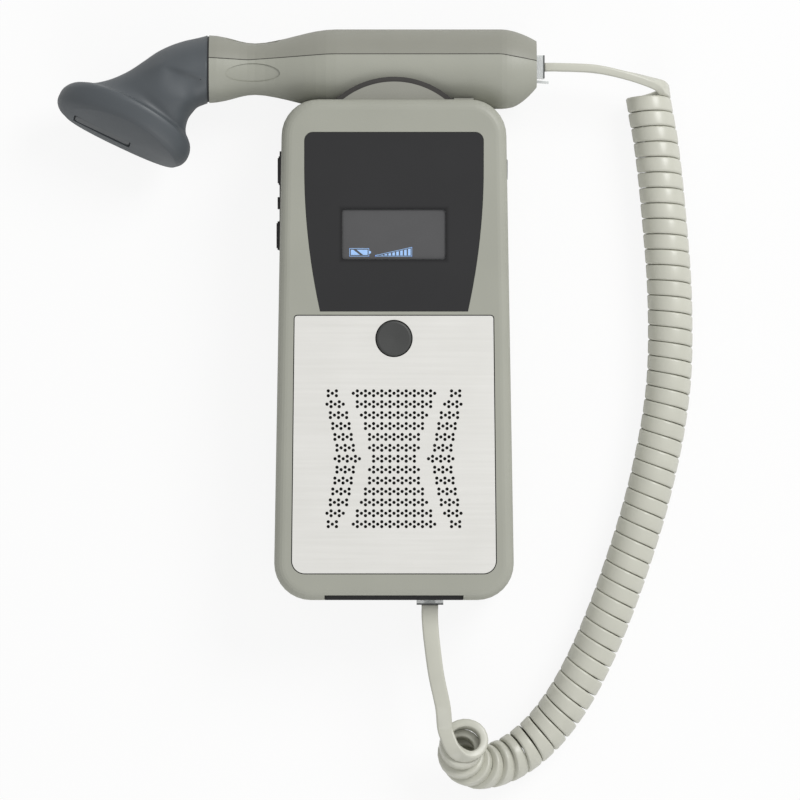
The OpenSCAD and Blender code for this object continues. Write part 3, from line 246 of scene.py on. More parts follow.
def rounded(corners, radii, grow=0.0, steps=8):
    """Outline in mm of a convex shape with rounded corners, grown outward, its corners in turn."""
    corners, outline = np.array(corners, dtype=float), []
    for k, radius in enumerate(radii):
        before, here, after = corners[k - 1], corners[k], corners[(k + 1) % len(corners)]
        a, b = here - before, after - here
        a, b = a / np.linalg.norm(a), b / np.linalg.norm(b)
        half_turn = math.acos(a @ b) / 2
        middle = here + (b - a) / np.linalg.norm(b - a) * radius / math.cos(half_turn)
        start = math.atan2(-a[0], a[1])
        for j in range(steps + 1):
            angle = start + 2 * half_turn * j / steps
            outline.append(middle + (radius + grow) * np.array((math.cos(angle), math.sin(angle))))
    return outline


def ring_prism(inner, outer, low, high):
    """Closed ring between two outlines in mm that have the same number of points."""
    n = len(inner)
    points = [(x / 1000, y / 1000, level / 1000)
              for outline, level in ((inner, low), (outer, low), (outer, high), (inner, high))
              for x, y in outline]
    faces = [(side * n + k, side * n + (k + 1) % n, (side + 1) % 4 * n + (k + 1) % n,
              (side + 1) % 4 * n + k) for side in range(4) for k in range(n)]
    return points, faces


PLATE = ((-29.2, -64), (29.2, -64), (28.4, 9.7), (-28.4, 9.7))
PLATE_RADII = (3.6, 3.6, 0.8, 0.8)
GAP_SHADE_FROM, GAP_SHADE_TO, GAP_SHADE_LOW, GAP_SHADE_TOP = 0.02, 0.26, 31.12, 31.62
# Black of painted shadow: it fills the gap round the plate and the gap round the button, and marks
# the pin hole of the probe head.
gap_shade_black = moulded("gap_shade_black", paint(26, 26, 26), drift=0.15, roughness=0.8, grain=2600.0,
                     depth=0.00008)
gap_shade_ring = ring_prism(rounded(PLATE, PLATE_RADII, GAP_SHADE_FROM),
                       rounded(PLATE, PLATE_RADII, GAP_SHADE_TO), GAP_SHADE_LOW, GAP_SHADE_TOP)
piece("plate_gap_shade_ring", *gap_shade_ring, gap_shade_black, "unit")


# Display: a thin graphite overlay stuck on the front cover, painted darker round its clear window
# as shade of the recess. Behind that sits a liquid crystal module on the main board, painted
# darker just inside the window's edge as shade too. Its polariser lies right under the window, and
# a battery and a rising volume wedge glow pale blue on it.
WINDOW_Y, WINDOW_HALF_W, WINDOW_HALF_H = 0.03298, 0.0149, 0.00725


def from_window(place):
    """Distance from the edge of the window, positive outside it."""
    x, y, _ = place.axes()
    return place.maths("MAXIMUM", x.maths("ABSOLUTE", x) - WINDOW_HALF_W,
                       y.maths("ABSOLUTE", y - WINDOW_Y) - WINDOW_HALF_H)


overlay = Finish("graphite_overlay", **{"IOR": 1.45, "Specular IOR Level": 0.25})
# Painted shade: the overlay is darker within about a millimetre round the window.
past_window_shade = from_window(overlay.place).above(0.0005, 0.0007)
graphite = tinted(overlay.place, paint(48, 48, 49), 0.05, 40.0)
overlay.set({"Base Color": past_window_shade.mixed(paint(34, 34, 35), graphite),
             "Roughness": 0.5 + 0.12 * overlay.place.noise(500.0)})
overlay.relief(overlay.place.noise(5200.0, 2.0), 0.000012)
overlay.on("display_overlay")

lens = Finish("clear_window", **{"IOR": 1.49, "Alpha": 0.12, "Specular IOR Level": 0.25})
lens.set({"Base Color": tinted(lens.place, paint(90, 90, 92), 0.04, 60.0),
          "Roughness": 0.16 + 0.1 * lens.place.noise(300.0)})
lens.on("display_window")

glass = Finish("display_glass", **{"IOR": 1.45, "Specular IOR Level": 0.2})
# Painted shade: the display glass is darker just inside the edge of the window.
inside = (0.0 - from_window(glass.place)).above(0.0003, 0.0005)
crystal = tinted(glass.place, paint(94, 94, 95), 0.04, 120.0)
glass.set({"Base Color": inside.mixed(paint(70, 70, 71), crystal),
           "Roughness": 0.4 + 0.1 * glass.place.noise(700.0)})
glass.on("display_module")


def skin(rings, around):
    """Faces of a closed body made of rings of points, with a cap at each end."""
    faces = [(around * k + j, around * k + (j + 1) % around, around * (k + 1) + (j + 1) % around,
              around * (k + 1) + j) for k in range(rings - 1) for j in range(around)]
    return faces + [tuple(range(around)), tuple(range(around * (rings - 1), around * rings))]


def prisms(outlines, low, high):
    """Flat prisms standing on outlines, all in mm."""
    points, faces = [], []
    for outline in outlines:
        faces += [tuple(len(points) + k for k in face) for face in skin(2, len(outline))]
        points += [(x / 1000, y / 1000, level / 1000) for level in (low, high) for x, y in outline]
    return points, faces


def line(a, b, width=0.13):
    """Outline of a thin straight line from a to b."""
    a, b = np.array(a, dtype=float), np.array(b, dtype=float)
    way = (b - a) / np.linalg.norm(b - a)
    off = width / 2 * np.array((-way[1], way[0]))
    a, b = a - width / 2 * way, b + width / 2 * way
    return [a + off, a - off, b - off, b + off]


POLARISER_GAP, POLARISER_R = 0.1, 1.1
POLARISER_LOW, POLARISER_TOP, ICON_LOW, ICON_TOP = 31.2, 31.403, 31.405, 31.45
half_w, half_h = 1000 * WINDOW_HALF_W - POLARISER_GAP, 1000 * WINDOW_HALF_H - POLARISER_GAP
low_y, high_y = 1000 * WINDOW_Y - half_h, 1000 * WINDOW_Y + half_h
polariser = rounded(((-half_w, low_y), (half_w, low_y), (half_w, high_y), (-half_w, high_y)),
                    (POLARISER_R,) * 4)
piece("display_polariser", *prisms([polariser], POLARISER_LOW, POLARISER_TOP), glass, "unit",
      smooth=False)
BATTERY = ((-12.7, 26.75), (-7.2, 26.75), (-7.2, 28.95), (-12.7, 28.95))
BATTERY_POLE = ((-7.15, 27.35), (-6.6, 27.6), (-6.6, 28.1), (-7.15, 28.35))
BATTERY_LEFT = ((-12.35, 27.1), (-9.75, 27.1), (-11.65, 28.6), (-12.35, 28.6))
BATTERY_RIGHT = ((-8.8, 27.1), (-7.55, 27.1), (-7.55, 28.6), (-10.7, 28.6))
WEDGE = ((-5.3, 26.75), (5.1, 26.75), (5.1, 29.3), (-5.3, 26.95))
BARS, BAR_PITCH, BAR_W, BAR_LOW, LAST_BAR_X = 8, 1.12, 0.74, 26.95, 4.75
BAR_GAP, BAR_RISE = 0.3, 0.15
icon_shapes = [line(shape[k], shape[(k + 1) % 4]) for shape in (BATTERY, WEDGE) for k in range(4)]
icon_shapes += [BATTERY_POLE, BATTERY_LEFT, BATTERY_RIGHT]
for k in range(BARS):
    right = LAST_BAR_X - BAR_PITCH * k
    top = np.interp(right, (WEDGE[0][0], WEDGE[1][0]), (WEDGE[3][1], WEDGE[2][1])) - BAR_GAP
    icon_shapes.append(((right - BAR_W, BAR_LOW), (right, BAR_LOW), (right, top),
                        (right - BAR_W, top - BAR_RISE)))
icon_blue = Finish("display_icon_blue", **{"Roughness": 0.5, "Emission Strength": 0.45})
icon_tone = tinted(icon_blue.place, paint(150, 186, 232), 0.06, 900.0)
icon_blue.set({"Base Color": icon_tone, "Emission Color": icon_tone})
piece("display_icons", *prisms(icon_shapes, ICON_LOW, ICON_TOP), icon_blue, "unit", smooth=False)


# Keys: the round power button is a moulded cap that stands through the plate, with a black ring
# of painted shadow in the gap round it. The two volume keys are domes of a black silicone mat that
# is held between the covers and comes through the left side of the case.
BUTTON_Y, GAP_FROM_R, GAP_TO_R, GAP_LOW, GAP_TOP = 3.2, 5.09, 5.33, 30.9, 31.6
button = moulded("button_graphite", paint(64, 65, 64), drift=0.08, roughness=0.5, grain=4200.0,
                 depth=0.00005)
button.on("power_button")
# Black ring in the gap round the button: painted shadow.
button_round = np.array([(math.cos(a), math.sin(a)) for a in np.radians(range(0, 360, 5))])
button_gap_shade = ring_prism(GAP_FROM_R * button_round + (0, BUTTON_Y),
                         GAP_TO_R * button_round + (0, BUTTON_Y), GAP_LOW, GAP_TOP)
piece("button_gap_shade", *button_gap_shade, gap_shade_black, "unit")
silicone = moulded("key_silicone", paint(58, 57, 58), drift=0.06, roughness=0.6, grain=1800.0,
                   depth=0.00004)
silicone.on("key_strip", "volume_up_key", "volume_down_key")


# Sockets: the black nose of the headphone socket in the right side, and the dark panel that is
# clamped in the lower end, with the window that the cord's jack looks out of.
moulded("socket_black", paint(38, 38, 39), drift=0.05, roughness=0.4).on("headphone_socket")
moulded("panel_black", paint(40, 40, 41), drift=0.05, roughness=0.48).on("connector_panel")


# Cradle: a moulded block with a round tongue behind the probe, fixed to the case. It is lined
# with a dark rubber trough, whose edge stands out round the tongue and which the probe snaps into.
moulded("cradle_grey", paint(146, 146, 137), roughness=0.48).on("cradle")
rubber = moulded("liner_rubber", paint(58, 56, 54), drift=0.08, roughness=0.62, grain=1600.0,
                 depth=0.00005)
rubber.on("cradle_liner")


# Probe handle: two long shells of the same grey ABS, snapped together, that meet in a fine line
# along the front and the back. Four shallow finger rests lie round the waist. The upper shell is
# painted darker as shade, and the lower one lighter as light.
PROBE = np.array((0.0, 80.85, 15.5))
JOINT_X, WAIST_X, BODY_X, TAPER_X, HANDLE_END_X = -53.4, -40.0, -16.6, 31.0, 41.0
COLLAR_R, WAIST_R, HANDLE_R, TAPER, TAPER_CURVE = 9.75, 7.6, 11.45, 3.4, 1.7
# Course of the line where the shells meet, its width, how far it stands out and how deep it goes
SEAM_X, SEAM_Y = (-54.4, -42, -18.6, 31, 42), (3.11, 2.41, 4.01, 4.01, 2.01)
SEAM_FROM_X, SEAM_TO_X, SEAM_RINGS = JOINT_X + 0.27, HANDLE_END_X - 0.05, 90
SEAM_W, SEAM_OUT, SEAM_DEPTH = 0.2, 0.05, 0.3

# Lit and shaded copies of one grey: painted shade on the upper shell, painted light on the lower.
moulded("handle_grey_upper_shaded", paint(144, 144, 134)).on("probe_upper_shell")
moulded("handle_grey_lower_lit", paint(160, 161, 150)).on("probe_lower_shell")
moulded("seal_black", paint(30, 31, 33), drift=0.05, roughness=0.5).on("probe_seal")


def ease(u):
    return (1 - math.cos(math.pi * min(max(u, 0), 1))) / 2


def handle_r(x):
    """Radius along the handle: collar, waist, straight body and rounded cord end."""
    if x < WAIST_X:
        return WAIST_R + (COLLAR_R - WAIST_R) * ease((WAIST_X - x) / (WAIST_X - JOINT_X))
    if x < TAPER_X:
        return WAIST_R + (HANDLE_R - WAIST_R) * ease((x - WAIST_X) / (BODY_X - WAIST_X))
    return HANDLE_R - TAPER * ((x - TAPER_X) / (HANDLE_END_X - TAPER_X)) ** TAPER_CURVE


seam_dark = moulded("seam_shadow", paint(58, 57, 52), drift=0.1, roughness=0.7)
for name, side in (("handle_seam_front", 1), ("handle_seam_back", -1)):
    seam_points = []
    for x in np.linspace(SEAM_FROM_X, SEAM_TO_X, SEAM_RINGS):
        for off, grow in ((-1, SEAM_OUT), (1, SEAM_OUT), (1, -SEAM_DEPTH), (-1, -SEAM_DEPTH)):
            y = np.interp(x, SEAM_X, SEAM_Y) + off * SEAM_W / 2
            z = side * math.sqrt((handle_r(x) + grow) ** 2 - y * y)
            seam_points.append((PROBE + (x, y, z)) / 1000)
    piece(name, seam_points, skin(SEAM_RINGS, 4), seam_dark, "probe", smooth=False)


# Probe head: one smooth slate grey moulding, pinned to the handle's collar, that swings down to a
# wide oval face with a rounded rim. It has a thumb dish on its front and back, and a slot in the
# face with the acoustic window, behind which the crystal block is bonded.
JOINT = PROBE + (JOINT_X, 0, 0)
FACE_HALF_DEPTH, FACE_TILT, FACE_BULGE = 14.3, math.radians(14), 0.4
FACE_BEND_FRONT, FACE_BEND_BACK = 2.7, 1.1
# Upper and lower outline point of each section from the middle of the joint, then its shares of
# the face's extra depth, of its tilt, and of the bend that draws its front and back edge up.
HEAD_SECTIONS = np.array([
    (0, 9.75, 0, -9.75, 0, 0, 0), (-3.2, 8.95, -1.4, -10.25, 0.02, 0, 0),
    (-7, 8.1, -3.3, -11.1, 0.05, 0, 0), (-10.9, 6.8, -4.7, -12.6, 0.07, 0.05, 0),
    (-14.9, 4.85, -5.8, -14.2, 0.07, 0.15, 0), (-18.9, 2.1, -6.4, -16, 0.05, 0.3, 0),
    (-23.2, -0.7, -6.6, -17.6, 0.0, 0.45, 0), (-28.2, -2.95, -6.45, -18.9, -0.04, 0.6, 0.02),
    (-33, -4.15, -6, -20, 0.15, 0.75, 0.08), (-36.6, -4.15, -5.6, -21.2, 0.5, 0.85, 0.28),
    (-39.6, -4.4, -5.35, -22.5, 0.82, 0.92, 0.5), (-41.9, -5.7, -5.4, -23.8, 0.96, 0.97, 0.7),
    (-43.1, -7.6, -5.8, -25.1, 1, 1, 0.88), (-43.5, -9.2, -6.5, -26.3, 0.97, 1, 0.97),
    (-43, -11, -7.7, -27.3, 0.88, 1, 1), (-41.6, -12.6, -9.4, -27.85, 0.7, 1, 1)])
HEAD_AROUND, HEAD_PER_SECTION = 96, 8
# Place along the handle and radius of each ring of the spigot inside the collar
SPIGOT = ((5, 0.1), (5, 6), (4.6, 6.4), (-0.25, 6.4), (-0.25, COLLAR_R - 0.25),
          (-0.45, COLLAR_R - 0.02))
# Sizes of the rings that close the face, as shares of its rim, and how fast the face curves
FACE_SHARES, FACE_CURVE = (0.97, 0.93, 0.86, 0.76, 0.62, 0.46, 0.3, 0.15, 0.02), 2.2
# The dish ends at these distances over and under its middle, each with the width of its slope
DISH_MIDDLE, DISH_WAY, DISH_DEPTH, DISH_HALF_LENGTH = (-61.1, 76.3), (0.94, -0.34), 0.95, 5.4
DISH_OVER, DISH_OVER_SLOPE, DISH_UNDER, DISH_UNDER_SLOPE = 4.1, 1.9, 5, 7
LIP_MIDDLE, LIP_WAY, LIP_HEIGHT = (-66.9, 81.7), (0.93, 0.37), 0.5
LIP_HALF_LENGTH, LIP_HALF_WIDTH = 3.4, 1.5
SWELLING_MIDDLE, SWELLING_HEIGHT, SWELLING_SPREAD = (-60.3, 71.2), 0.55, 5.0


def unit(v):
    return v / np.linalg.norm(v)


def curve(points, t):
    """Smooth curve through the points, with t from 0 to their number less 1."""
    p = np.vstack([2 * points[0] - points[1], points, 2 * points[-1] - points[-2]])
    i = int(min(max(math.floor(t), 0), len(points) - 2))
    a, b, c, d = p[i], p[i + 1], p[i + 2], p[i + 3]
    u = t - i
    return 0.5 * (2 * b + (c - a) * u + (2 * a - 5 * b + 4 * c - d) * u * u
                  + (3 * b - a - 3 * c + d) * u ** 3)


def head_frame(section):
    """Middle, half length and depth of a section, with its long, outward and deep directions."""
    upper, lower = np.append(section[:2], 0), np.append(section[2:4], 0)
    tilt = FACE_TILT * section[5]
    long_way = unit(upper - lower)
    out = np.array((-long_way[1] * math.cos(tilt), long_way[0] * math.cos(tilt), math.sin(tilt)))
    deep = np.array((long_way[1] * math.sin(tilt), -long_way[0] * math.sin(tilt), math.cos(tilt)))
    depth = COLLAR_R + (FACE_HALF_DEPTH - COLLAR_R) * section[4]
    return (JOINT + (upper + lower) / 2, np.linalg.norm(upper - lower) / 2, depth, long_way, out,
            deep)


def from_middle(point, middle, way):
    """Distance of a point from a middle, along a way and square to it."""
    x, y = point[:2] - middle
    return way[0] * x + way[1] * y, way[0] * y - way[1] * x


def thumb_dish(point):
    """Height over the plain form: a dish that is steep on top, a lip and a low swelling."""
    along, over = from_middle(point, DISH_MIDDLE, DISH_WAY)
    dish = (math.exp(-(along / DISH_HALF_LENGTH) ** 4)
            * ease((DISH_OVER - over) / DISH_OVER_SLOPE)
            * ease((over + DISH_UNDER) / DISH_UNDER_SLOPE))
    along, over = from_middle(point, LIP_MIDDLE, LIP_WAY)
    lip = math.exp(-(along / LIP_HALF_LENGTH) ** 2 - (over / LIP_HALF_WIDTH) ** 2)
    x, y = point[:2] - SWELLING_MIDDLE
    swelling = math.exp(-(x * x + y * y) / SWELLING_SPREAD)
    return LIP_HEIGHT * lip + SWELLING_HEIGHT * swelling - DISH_DEPTH * dish


def head_ring(section, share=1.0, push=0.0):
    """Ring of points round a section, shrunk to a share of it and pushed outward."""
    middle, half, depth, long_way, out, deep = head_frame(section)
    ring = []
    for k in range(HEAD_AROUND):
        a = 2 * math.pi * k / HEAD_AROUND
        bend = FACE_BEND_FRONT if math.cos(a) > 0 else FACE_BEND_BACK
        bend *= section[6] * (share * math.cos(a)) ** 2
        point = (middle + (push - bend) * out + share * half * math.sin(a) * long_way
                 + share * depth * math.cos(a) * deep)
        # The dish lies on the front and the back, and fades out toward the edges between them
        fade = math.copysign(ease(2 * abs(math.cos(a)) - 0.6), math.cos(a))
        ring.append(point + thumb_dish(point) * fade * deep)
    return ring


head_rings = [[JOINT + (x, r * math.sin(2 * math.pi * k / HEAD_AROUND),
                        r * math.cos(2 * math.pi * k / HEAD_AROUND)) for k in range(HEAD_AROUND)]
              for x, r in SPIGOT]
# The first ring stands a quarter of a section past the middle of the joint
last_section = len(HEAD_SECTIONS) - 1
head_rings += [head_ring(curve(HEAD_SECTIONS, t))
               for t in np.linspace(0.25, last_section, last_section * HEAD_PER_SECTION)]
face_section = HEAD_SECTIONS[-1]
head_rings += [head_ring(face_section, share, FACE_BULGE * (1 - share ** FACE_CURVE))
               for share in FACE_SHARES]
head_points = [point / 1000 for ring in head_rings for point in ring]

slate = moulded("head_slate", paint(81, 86, 90), drift=0.035, roughness=0.38, grain=3000.0,
                depth=0.00002)
head = piece("probe_head_moulding", head_points, skin(len(head_rings), HEAD_AROUND), slate, None)

SLOT, SLOT_R, SLOT_ALONG = ((-3, -9), (3, -9), (3, 9), (-3, 9)), 0.9, 5.7
SLOT_FLOOR, SLOT_OPEN = -4.4, 5.0
# How far each ring of the acoustic window grows over the slot's outline, and its level
LENS_R = 2.0
LENS_RINGS = ((-0.3, -1.9), (-0.3, -0.2), (-0.42, -0.04), (-0.75, 0.04), (-1.6, 0.08))
middle, _, _, long_way, out, deep = head_frame(face_section)
slot_middle = middle + SLOT_ALONG * long_way


def on_face(outline, level):
    """Points in metres of an outline laid on the face, at a level in mm over its last section."""
    return [(slot_middle + u * deep + v * long_way + level * out) / 1000 for u, v in outline]


slot_outline = rounded(SLOT, (SLOT_R,) * 4)
slot_points = on_face(slot_outline, SLOT_FLOOR) + on_face(slot_outline, SLOT_OPEN)
cutter = piece("slot_cutter", slot_points, skin(2, len(slot_outline)), slate, None, smooth=False)
cut = head.modifiers.new("slot", "BOOLEAN")
cut.object, cut.operation, cut.solver = cutter, "DIFFERENCE", "EXACT"
bpy.context.view_layer.update()
cut_mesh = bpy.data.meshes.new_from_object(head.evaluated_get(
    bpy.context.evaluated_depsgraph_get()))
head.modifiers.clear()
head.data = cut_mesh
bpy.data.objects.remove(cutter)
head.data.shade_smooth()
head.data.set_sharp_from_angle(angle=math.radians(40))
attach(head, "probe")
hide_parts("probe_head")

window_grey = moulded("acoustic_window", paint(80, 84, 87), drift=0.05, roughness=0.35)
lens_points = []
for grow, level in LENS_RINGS:
    lens_points += on_face(rounded(SLOT, (LENS_R,) * 4, grow), level)
window_lens = piece("acoustic_window_lens", lens_points, skin(len(LENS_RINGS), len(slot_outline)),
                    window_grey, "probe")
window_lens.data.set_sharp_from_angle(angle=math.radians(40))
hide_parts("probe_window")

# A black disc on the collar is painted shade of a small pin hole.
PIN_X, PIN_Y, PIN_R, PIN_AROUND = -2.0, -3.1, 0.32, 18
PIN_LOW, PIN_TOP = COLLAR_R - 0.53, COLLAR_R + 0.03
pin_way = unit(np.array((0, PIN_Y, math.sqrt(COLLAR_R ** 2 - PIN_Y ** 2))))
pin_middle = JOINT + (PIN_X, 0, 0)
pin_round = [math.cos(a) * np.array((1, 0, 0)) + math.sin(a) * np.cross(pin_way, (1, 0, 0))
             for a in np.radians(np.arange(PIN_AROUND) * 360 / PIN_AROUND)]
pin_points = [(pin_middle + PIN_R * way + level * pin_way) / 1000 for level in (PIN_LOW, PIN_TOP)
              for way in pin_round]
piece("pin_hole_shade", pin_points, skin(2, PIN_AROUND), gap_shade_black, "probe", smooth=False)
moulded("crystal_block_tan", paint(186, 170, 140), drift=0.06, roughness=0.5).on("crystal_block")


# Plugs of the cord: clear polycarbonate bodies with a springy latch and four gold blades, clipped
# into their jacks. Their end faces are painted darker and less clear, as shade where the light
# runs along them.
UNIT_RIM_Y, PROBE_RIM_X, LATCH_Y = -0.0727, 0.0429, 0.0777
clear = Finish("clear_polycarbonate", **{"IOR": 1.58})
plug_x, plug_y, _ = clear.place.axes()
unit_end_shade = (UNIT_RIM_Y - plug_y).above(0.0, 0.0001)
probe_end_shade = plug_x.above(PROBE_RIM_X, 0.0001) * plug_y.above(LATCH_Y, 0.0002)
# Painted shade along the end faces of both plugs.
rim = clear.place.maths("MAXIMUM", unit_end_shade, probe_end_shade)
water_clear = tinted(clear.place, paint(214, 219, 217), 0.05, 300.0)
clear.set({"Base Color": rim.mixed(water_clear, paint(70, 72, 72)),
           "Alpha": 0.5 + 0.4 * rim, "Roughness": 0.08 + 0.1 * clear.place.noise(500.0)})
clear.relief(clear.place.noise(700.0), 0.00003)
clear.on("unit_plug", "probe_plug")


# Curly cord: four wires in a flat grey jacket of soft vinyl, wound on a rod and set by heat so
# that it springs back into curls. A straight tail at each end runs into its plug.
CORD_W, CORD_T, JACKET_EDGE, COIL_D = 4.8, 2.4, 0.62, 12.9
COIL_R = (COIL_D - CORD_T) / 2
CURL_PITCH, CURL_GAP = 4.45, 0.14
CURL_W, CURL_W_LEAST = 4.31, 1.4
# Rings of the jacket in each curl, samples of the route, and where in a curl the coil starts at
# the probe and ends at the unit, in degrees
CURL_RINGS, COIL_SAMPLES = 24, 840
COIL_START_TURN, COIL_END_TURN = 20, 50
# The curls lean away from the middle a little all along, and stand upright near the unit's end,
# where the last one is open to the front and a little larger.
LEAN_MIDDLE, LEAN_REACH = np.array((1.7, -14.4, 6.6)), 500
LEAN_FROM, LEAN, UNWIND, FLAT_SHARE = 14, 2.0, 110, 0.8
LAST_CURL, LAST_CURL_GROWTH = 330, 0.09
TAIL_STRAIGHT, PROBE_TAIL_END = 4.0, 2.5
UNIT_EXIT = np.array((10.3, -73.1, 23.6))
PROBE_EXIT = np.array((43.3, 81.4, 15.5))
COIL_ROUTE = np.array([
    (73.3, 74.1, 6.6), (74.2, 68.1, 6.6), (75.5, 61, 6.6), (77, 49, 6.6), (78.3, 35, 6.6),
    (79.4, 21, 6.6), (79.8, 7, 6.6), (79.5, -7, 6.6), (78, -20, 6.6), (75.5, -33, 6.6),
    (72, -47, 6.6), (67.6, -61, 6.6), (63, -74, 6.6), (57.6, -87, 6.6), (51.4, -99, 6.6),
    (44.4, -108.8, 6.6), (37.2, -115.5, 6.6), (30.5, -119.2, 6.7), (24.4, -120.3, 8.4),
    (20, -118.3, 11.2), (19, -114.9, 14.8), (21.3, -110.6, 18.4), (22.9, -108.3, 21)])
UNIT_TAIL = [(10.8, -83.3, 23.3), (12.1, -93.2, 22.9), (14.0, -102.4, 21.8)]
PROBE_TAIL = [(58, 80.9, 15.2), (67.6, 78.9, 14.4), (74.6, 76.9, 12.8)]
UP = np.array((0.0, 0.0, 1.0))


def curve_way(points, t, step=0.01):
    last = len(points) - 1
    return unit(curve(points, min(last, t + step)) - curve(points, max(0, t - step)))


coil_t = np.linspace(0, len(COIL_ROUTE) - 1, COIL_SAMPLES + 1)
coil_middle = np.array([curve(COIL_ROUTE, t) for t in coil_t])
step_lengths = np.linalg.norm(np.diff(coil_middle, axis=0), axis=1)
coil_turns = np.concatenate([[0], np.cumsum(360 * step_lengths / CURL_PITCH)])
end_turn = COIL_START_TURN - COIL_END_TURN
coil_last = 360 * math.floor((coil_turns[-1] - end_turn) / 360) + end_turn


def coil_axis(t):
    """Direction that the curls are wound round. It follows the route and leans up at the end."""
    way = curve_way(COIL_ROUTE, t, 1.0)
    lean = LEAN * ease((t - LEAN_FROM) / (len(COIL_ROUTE) - 1 - LEAN_FROM))
    lean += (LEAN_MIDDLE - curve(COIL_ROUTE, t)) @ way / LEAN_REACH
    return unit(way + lean * UP)


def coil_out(turn):
    """Direction from the middle of the coil to the cord after so many degrees of winding."""
    axis = coil_axis(np.interp(turn, coil_turns, coil_t))
    side = -unit(np.cross(axis, UP))
    up = np.cross(axis, side)
    angle = math.radians(COIL_START_TURN - turn)
    return math.cos(angle) * side + math.sin(angle) * up


def coil_point(turn, r=COIL_R):
    r *= 1 + LAST_CURL_GROWTH * ease((turn - coil_last + LAST_CURL) / LAST_CURL)
    return curve(COIL_ROUTE, np.interp(turn, coil_turns, coil_t)) + r * coil_out(turn)


def coil_way(turn, step=2):
    return unit(coil_point(min(coil_last, turn + step)) - coil_point(max(0, turn - step)))


def across(normal, way):
    """The part of a normal that is square to the way."""
    return unit(normal - (normal @ way) * way)


def coil_normal(turn):
    """The flat side faces outward, and turns to the front where the cord leaves the coil."""
    u = FLAT_SHARE * ease((turn - coil_last + UNWIND) / UNWIND)
    flat_on = coil_axis(np.interp(turn, coil_turns, coil_t))
    return across((1 - u) * coil_out(turn) + u * flat_on, coil_way(turn))


def coil_width(turn):
    """Width of the cord, pressed narrower where its curls crowd on the inner side of a bend.

    It keeps its full width at the unit's end of the coil.
    """
    here = coil_point(turn, COIL_D / 2)
    room = min(np.linalg.norm(coil_point(turn + d, COIL_D / 2) - here)
               for d in (-360, 360) if 0 <= turn + d <= coil_last)
    pressed = float(np.clip(room - CURL_GAP, CURL_W_LEAST, CURL_W))
    return pressed + (CURL_W - pressed) * ease((turn - coil_last + UNWIND) / UNWIND)


def tail_stations(route, normals, widths, per_piece=8):
    """Centre, normal and width of each ring of a straight tail."""
    route, normals = np.array(route), np.array(normals, dtype=float)
    last = (len(route) - 1) * per_piece
    made = []
    for k in range(last + 1):
        t = k / per_piece
        i = min(int(t), len(route) - 2)
        normal = normals[i] + (normals[i + 1] - normals[i]) * (t - i)
        made.append((curve(route, t), across(normal, curve_way(route, t)),
                     widths[0] + (widths[1] - widths[0]) * k / last))
    return made


def cord_stations():
    """Rings of the whole cord from the unit's plug to the probe's plug."""
    end, start = coil_point(coil_last), coil_point(0)
    unit_tail = tail_stations(
        [UNIT_EXIT, UNIT_EXIT - (0, TAIL_STRAIGHT, 0), *UNIT_TAIL,
         end + TAIL_STRAIGHT * coil_way(coil_last), end],
        [UP, UP, UP, UP, UP, coil_normal(coil_last), coil_normal(coil_last)],
        (CORD_W, coil_width(coil_last)))
    probe_tail = tail_stations(
        [PROBE_EXIT, PROBE_EXIT + (TAIL_STRAIGHT, 0, 0), *PROBE_TAIL,
         start - PROBE_TAIL_END * coil_way(0), start],
        [(0, 1, 0), (0, 1, 0), (0, 1, 0), (0, 1, 0.1), (0.35, 0.85, 0.3), coil_normal(0),
         coil_normal(0)],
        (CORD_W, coil_width(0)))
    turns = np.linspace(coil_last, 0, round(coil_last / 360 * CURL_RINGS) + 1)
    curls = [(coil_point(turn), coil_normal(turn), coil_width(turn)) for turn in turns]
    return unit_tail + curls[1:-1] + probe_tail[::-1]


def jacket_section(width, per_corner=4):
    """Section of the flat jacket with its corners rounded off, as (across, out) pairs."""
    corner = []
    edge = min(JACKET_EDGE, 0.45 * width)
    for sx, sy, start in ((1, 1, 0), (-1, 1, 90), (-1, -1, 180), (1, -1, 270)):
        for k in range(per_corner + 1):
            a = math.radians(start + 90 * k / per_corner)
            corner.append((sx * (width / 2 - edge) + edge * math.cos(a),
                           sy * (CORD_T / 2 - edge) + edge * math.sin(a)))
    return corner


stations = cord_stations()
cord_path = np.array([station[0] for station in stations]) / 1000
cord_points = []
for (centre, normal, width), way in zip(stations, np.gradient(cord_path, axis=0)):
    normal = across(normal, unit(way))
    side = np.cross(normal, unit(way))
    cord_points += [(centre + a * side + b * normal) / 1000 for a, b in jacket_section(width)]
cord_faces = skin(len(stations), len(jacket_section(CORD_W)))

jacket = Finish("grey_vinyl_jacket", **{"IOR": 1.5, "Coat Weight": 0.25, "Coat Roughness": 0.2})
jacket.set({"Base Color": tinted(jacket.place, paint(196, 196, 184), 0.035, 90.0),
            "Roughness": 0.32 + 0.16 * jacket.place.noise(420.0)})
jacket.relief(0.6 * jacket.place.noise(900.0, 3.0) + 0.4 * jacket.place.noise(160.0), 0.00006)
curly_cord = piece("curly_cord", cord_points, cord_faces, jacket, None)
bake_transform(curly_cord)
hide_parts("cord_tail_unit", "cord_coil", "cord_tail_probe")


# Floor and light: a plain white table top under a big soft lamp on the upper right and a weaker
# one at the lower side, with white walls all round. The floor keeps the object's soft shadow.
FLOOR_Z, FLOOR_SPOKES, FLOOR_RADII = -0.0004, 48, (0.4, 0.9, 1.6)
COVER, ROOM_LIGHT = 0.88, 0.5
floor_finish = Finish("white_table", Roughness=0.8)
floor = floor_finish.place
floor_finish.set({"Base Color": tinted(floor, paint(238, 238, 237), 0.01, 3.0)})
glow = floor.node("Emission", {"Color": (1, 1, 1, 1)})
seen = floor.node("LightPath", {}, output="Is Camera Ray")
covered = floor.node("MixShader", {0: COVER * seen, 1: Shade(floor_finish.shader.outputs[0]),
                                   2: glow})
floor.tree.links.new(covered.socket, floor.tree.nodes["Material Output"].inputs["Surface"])

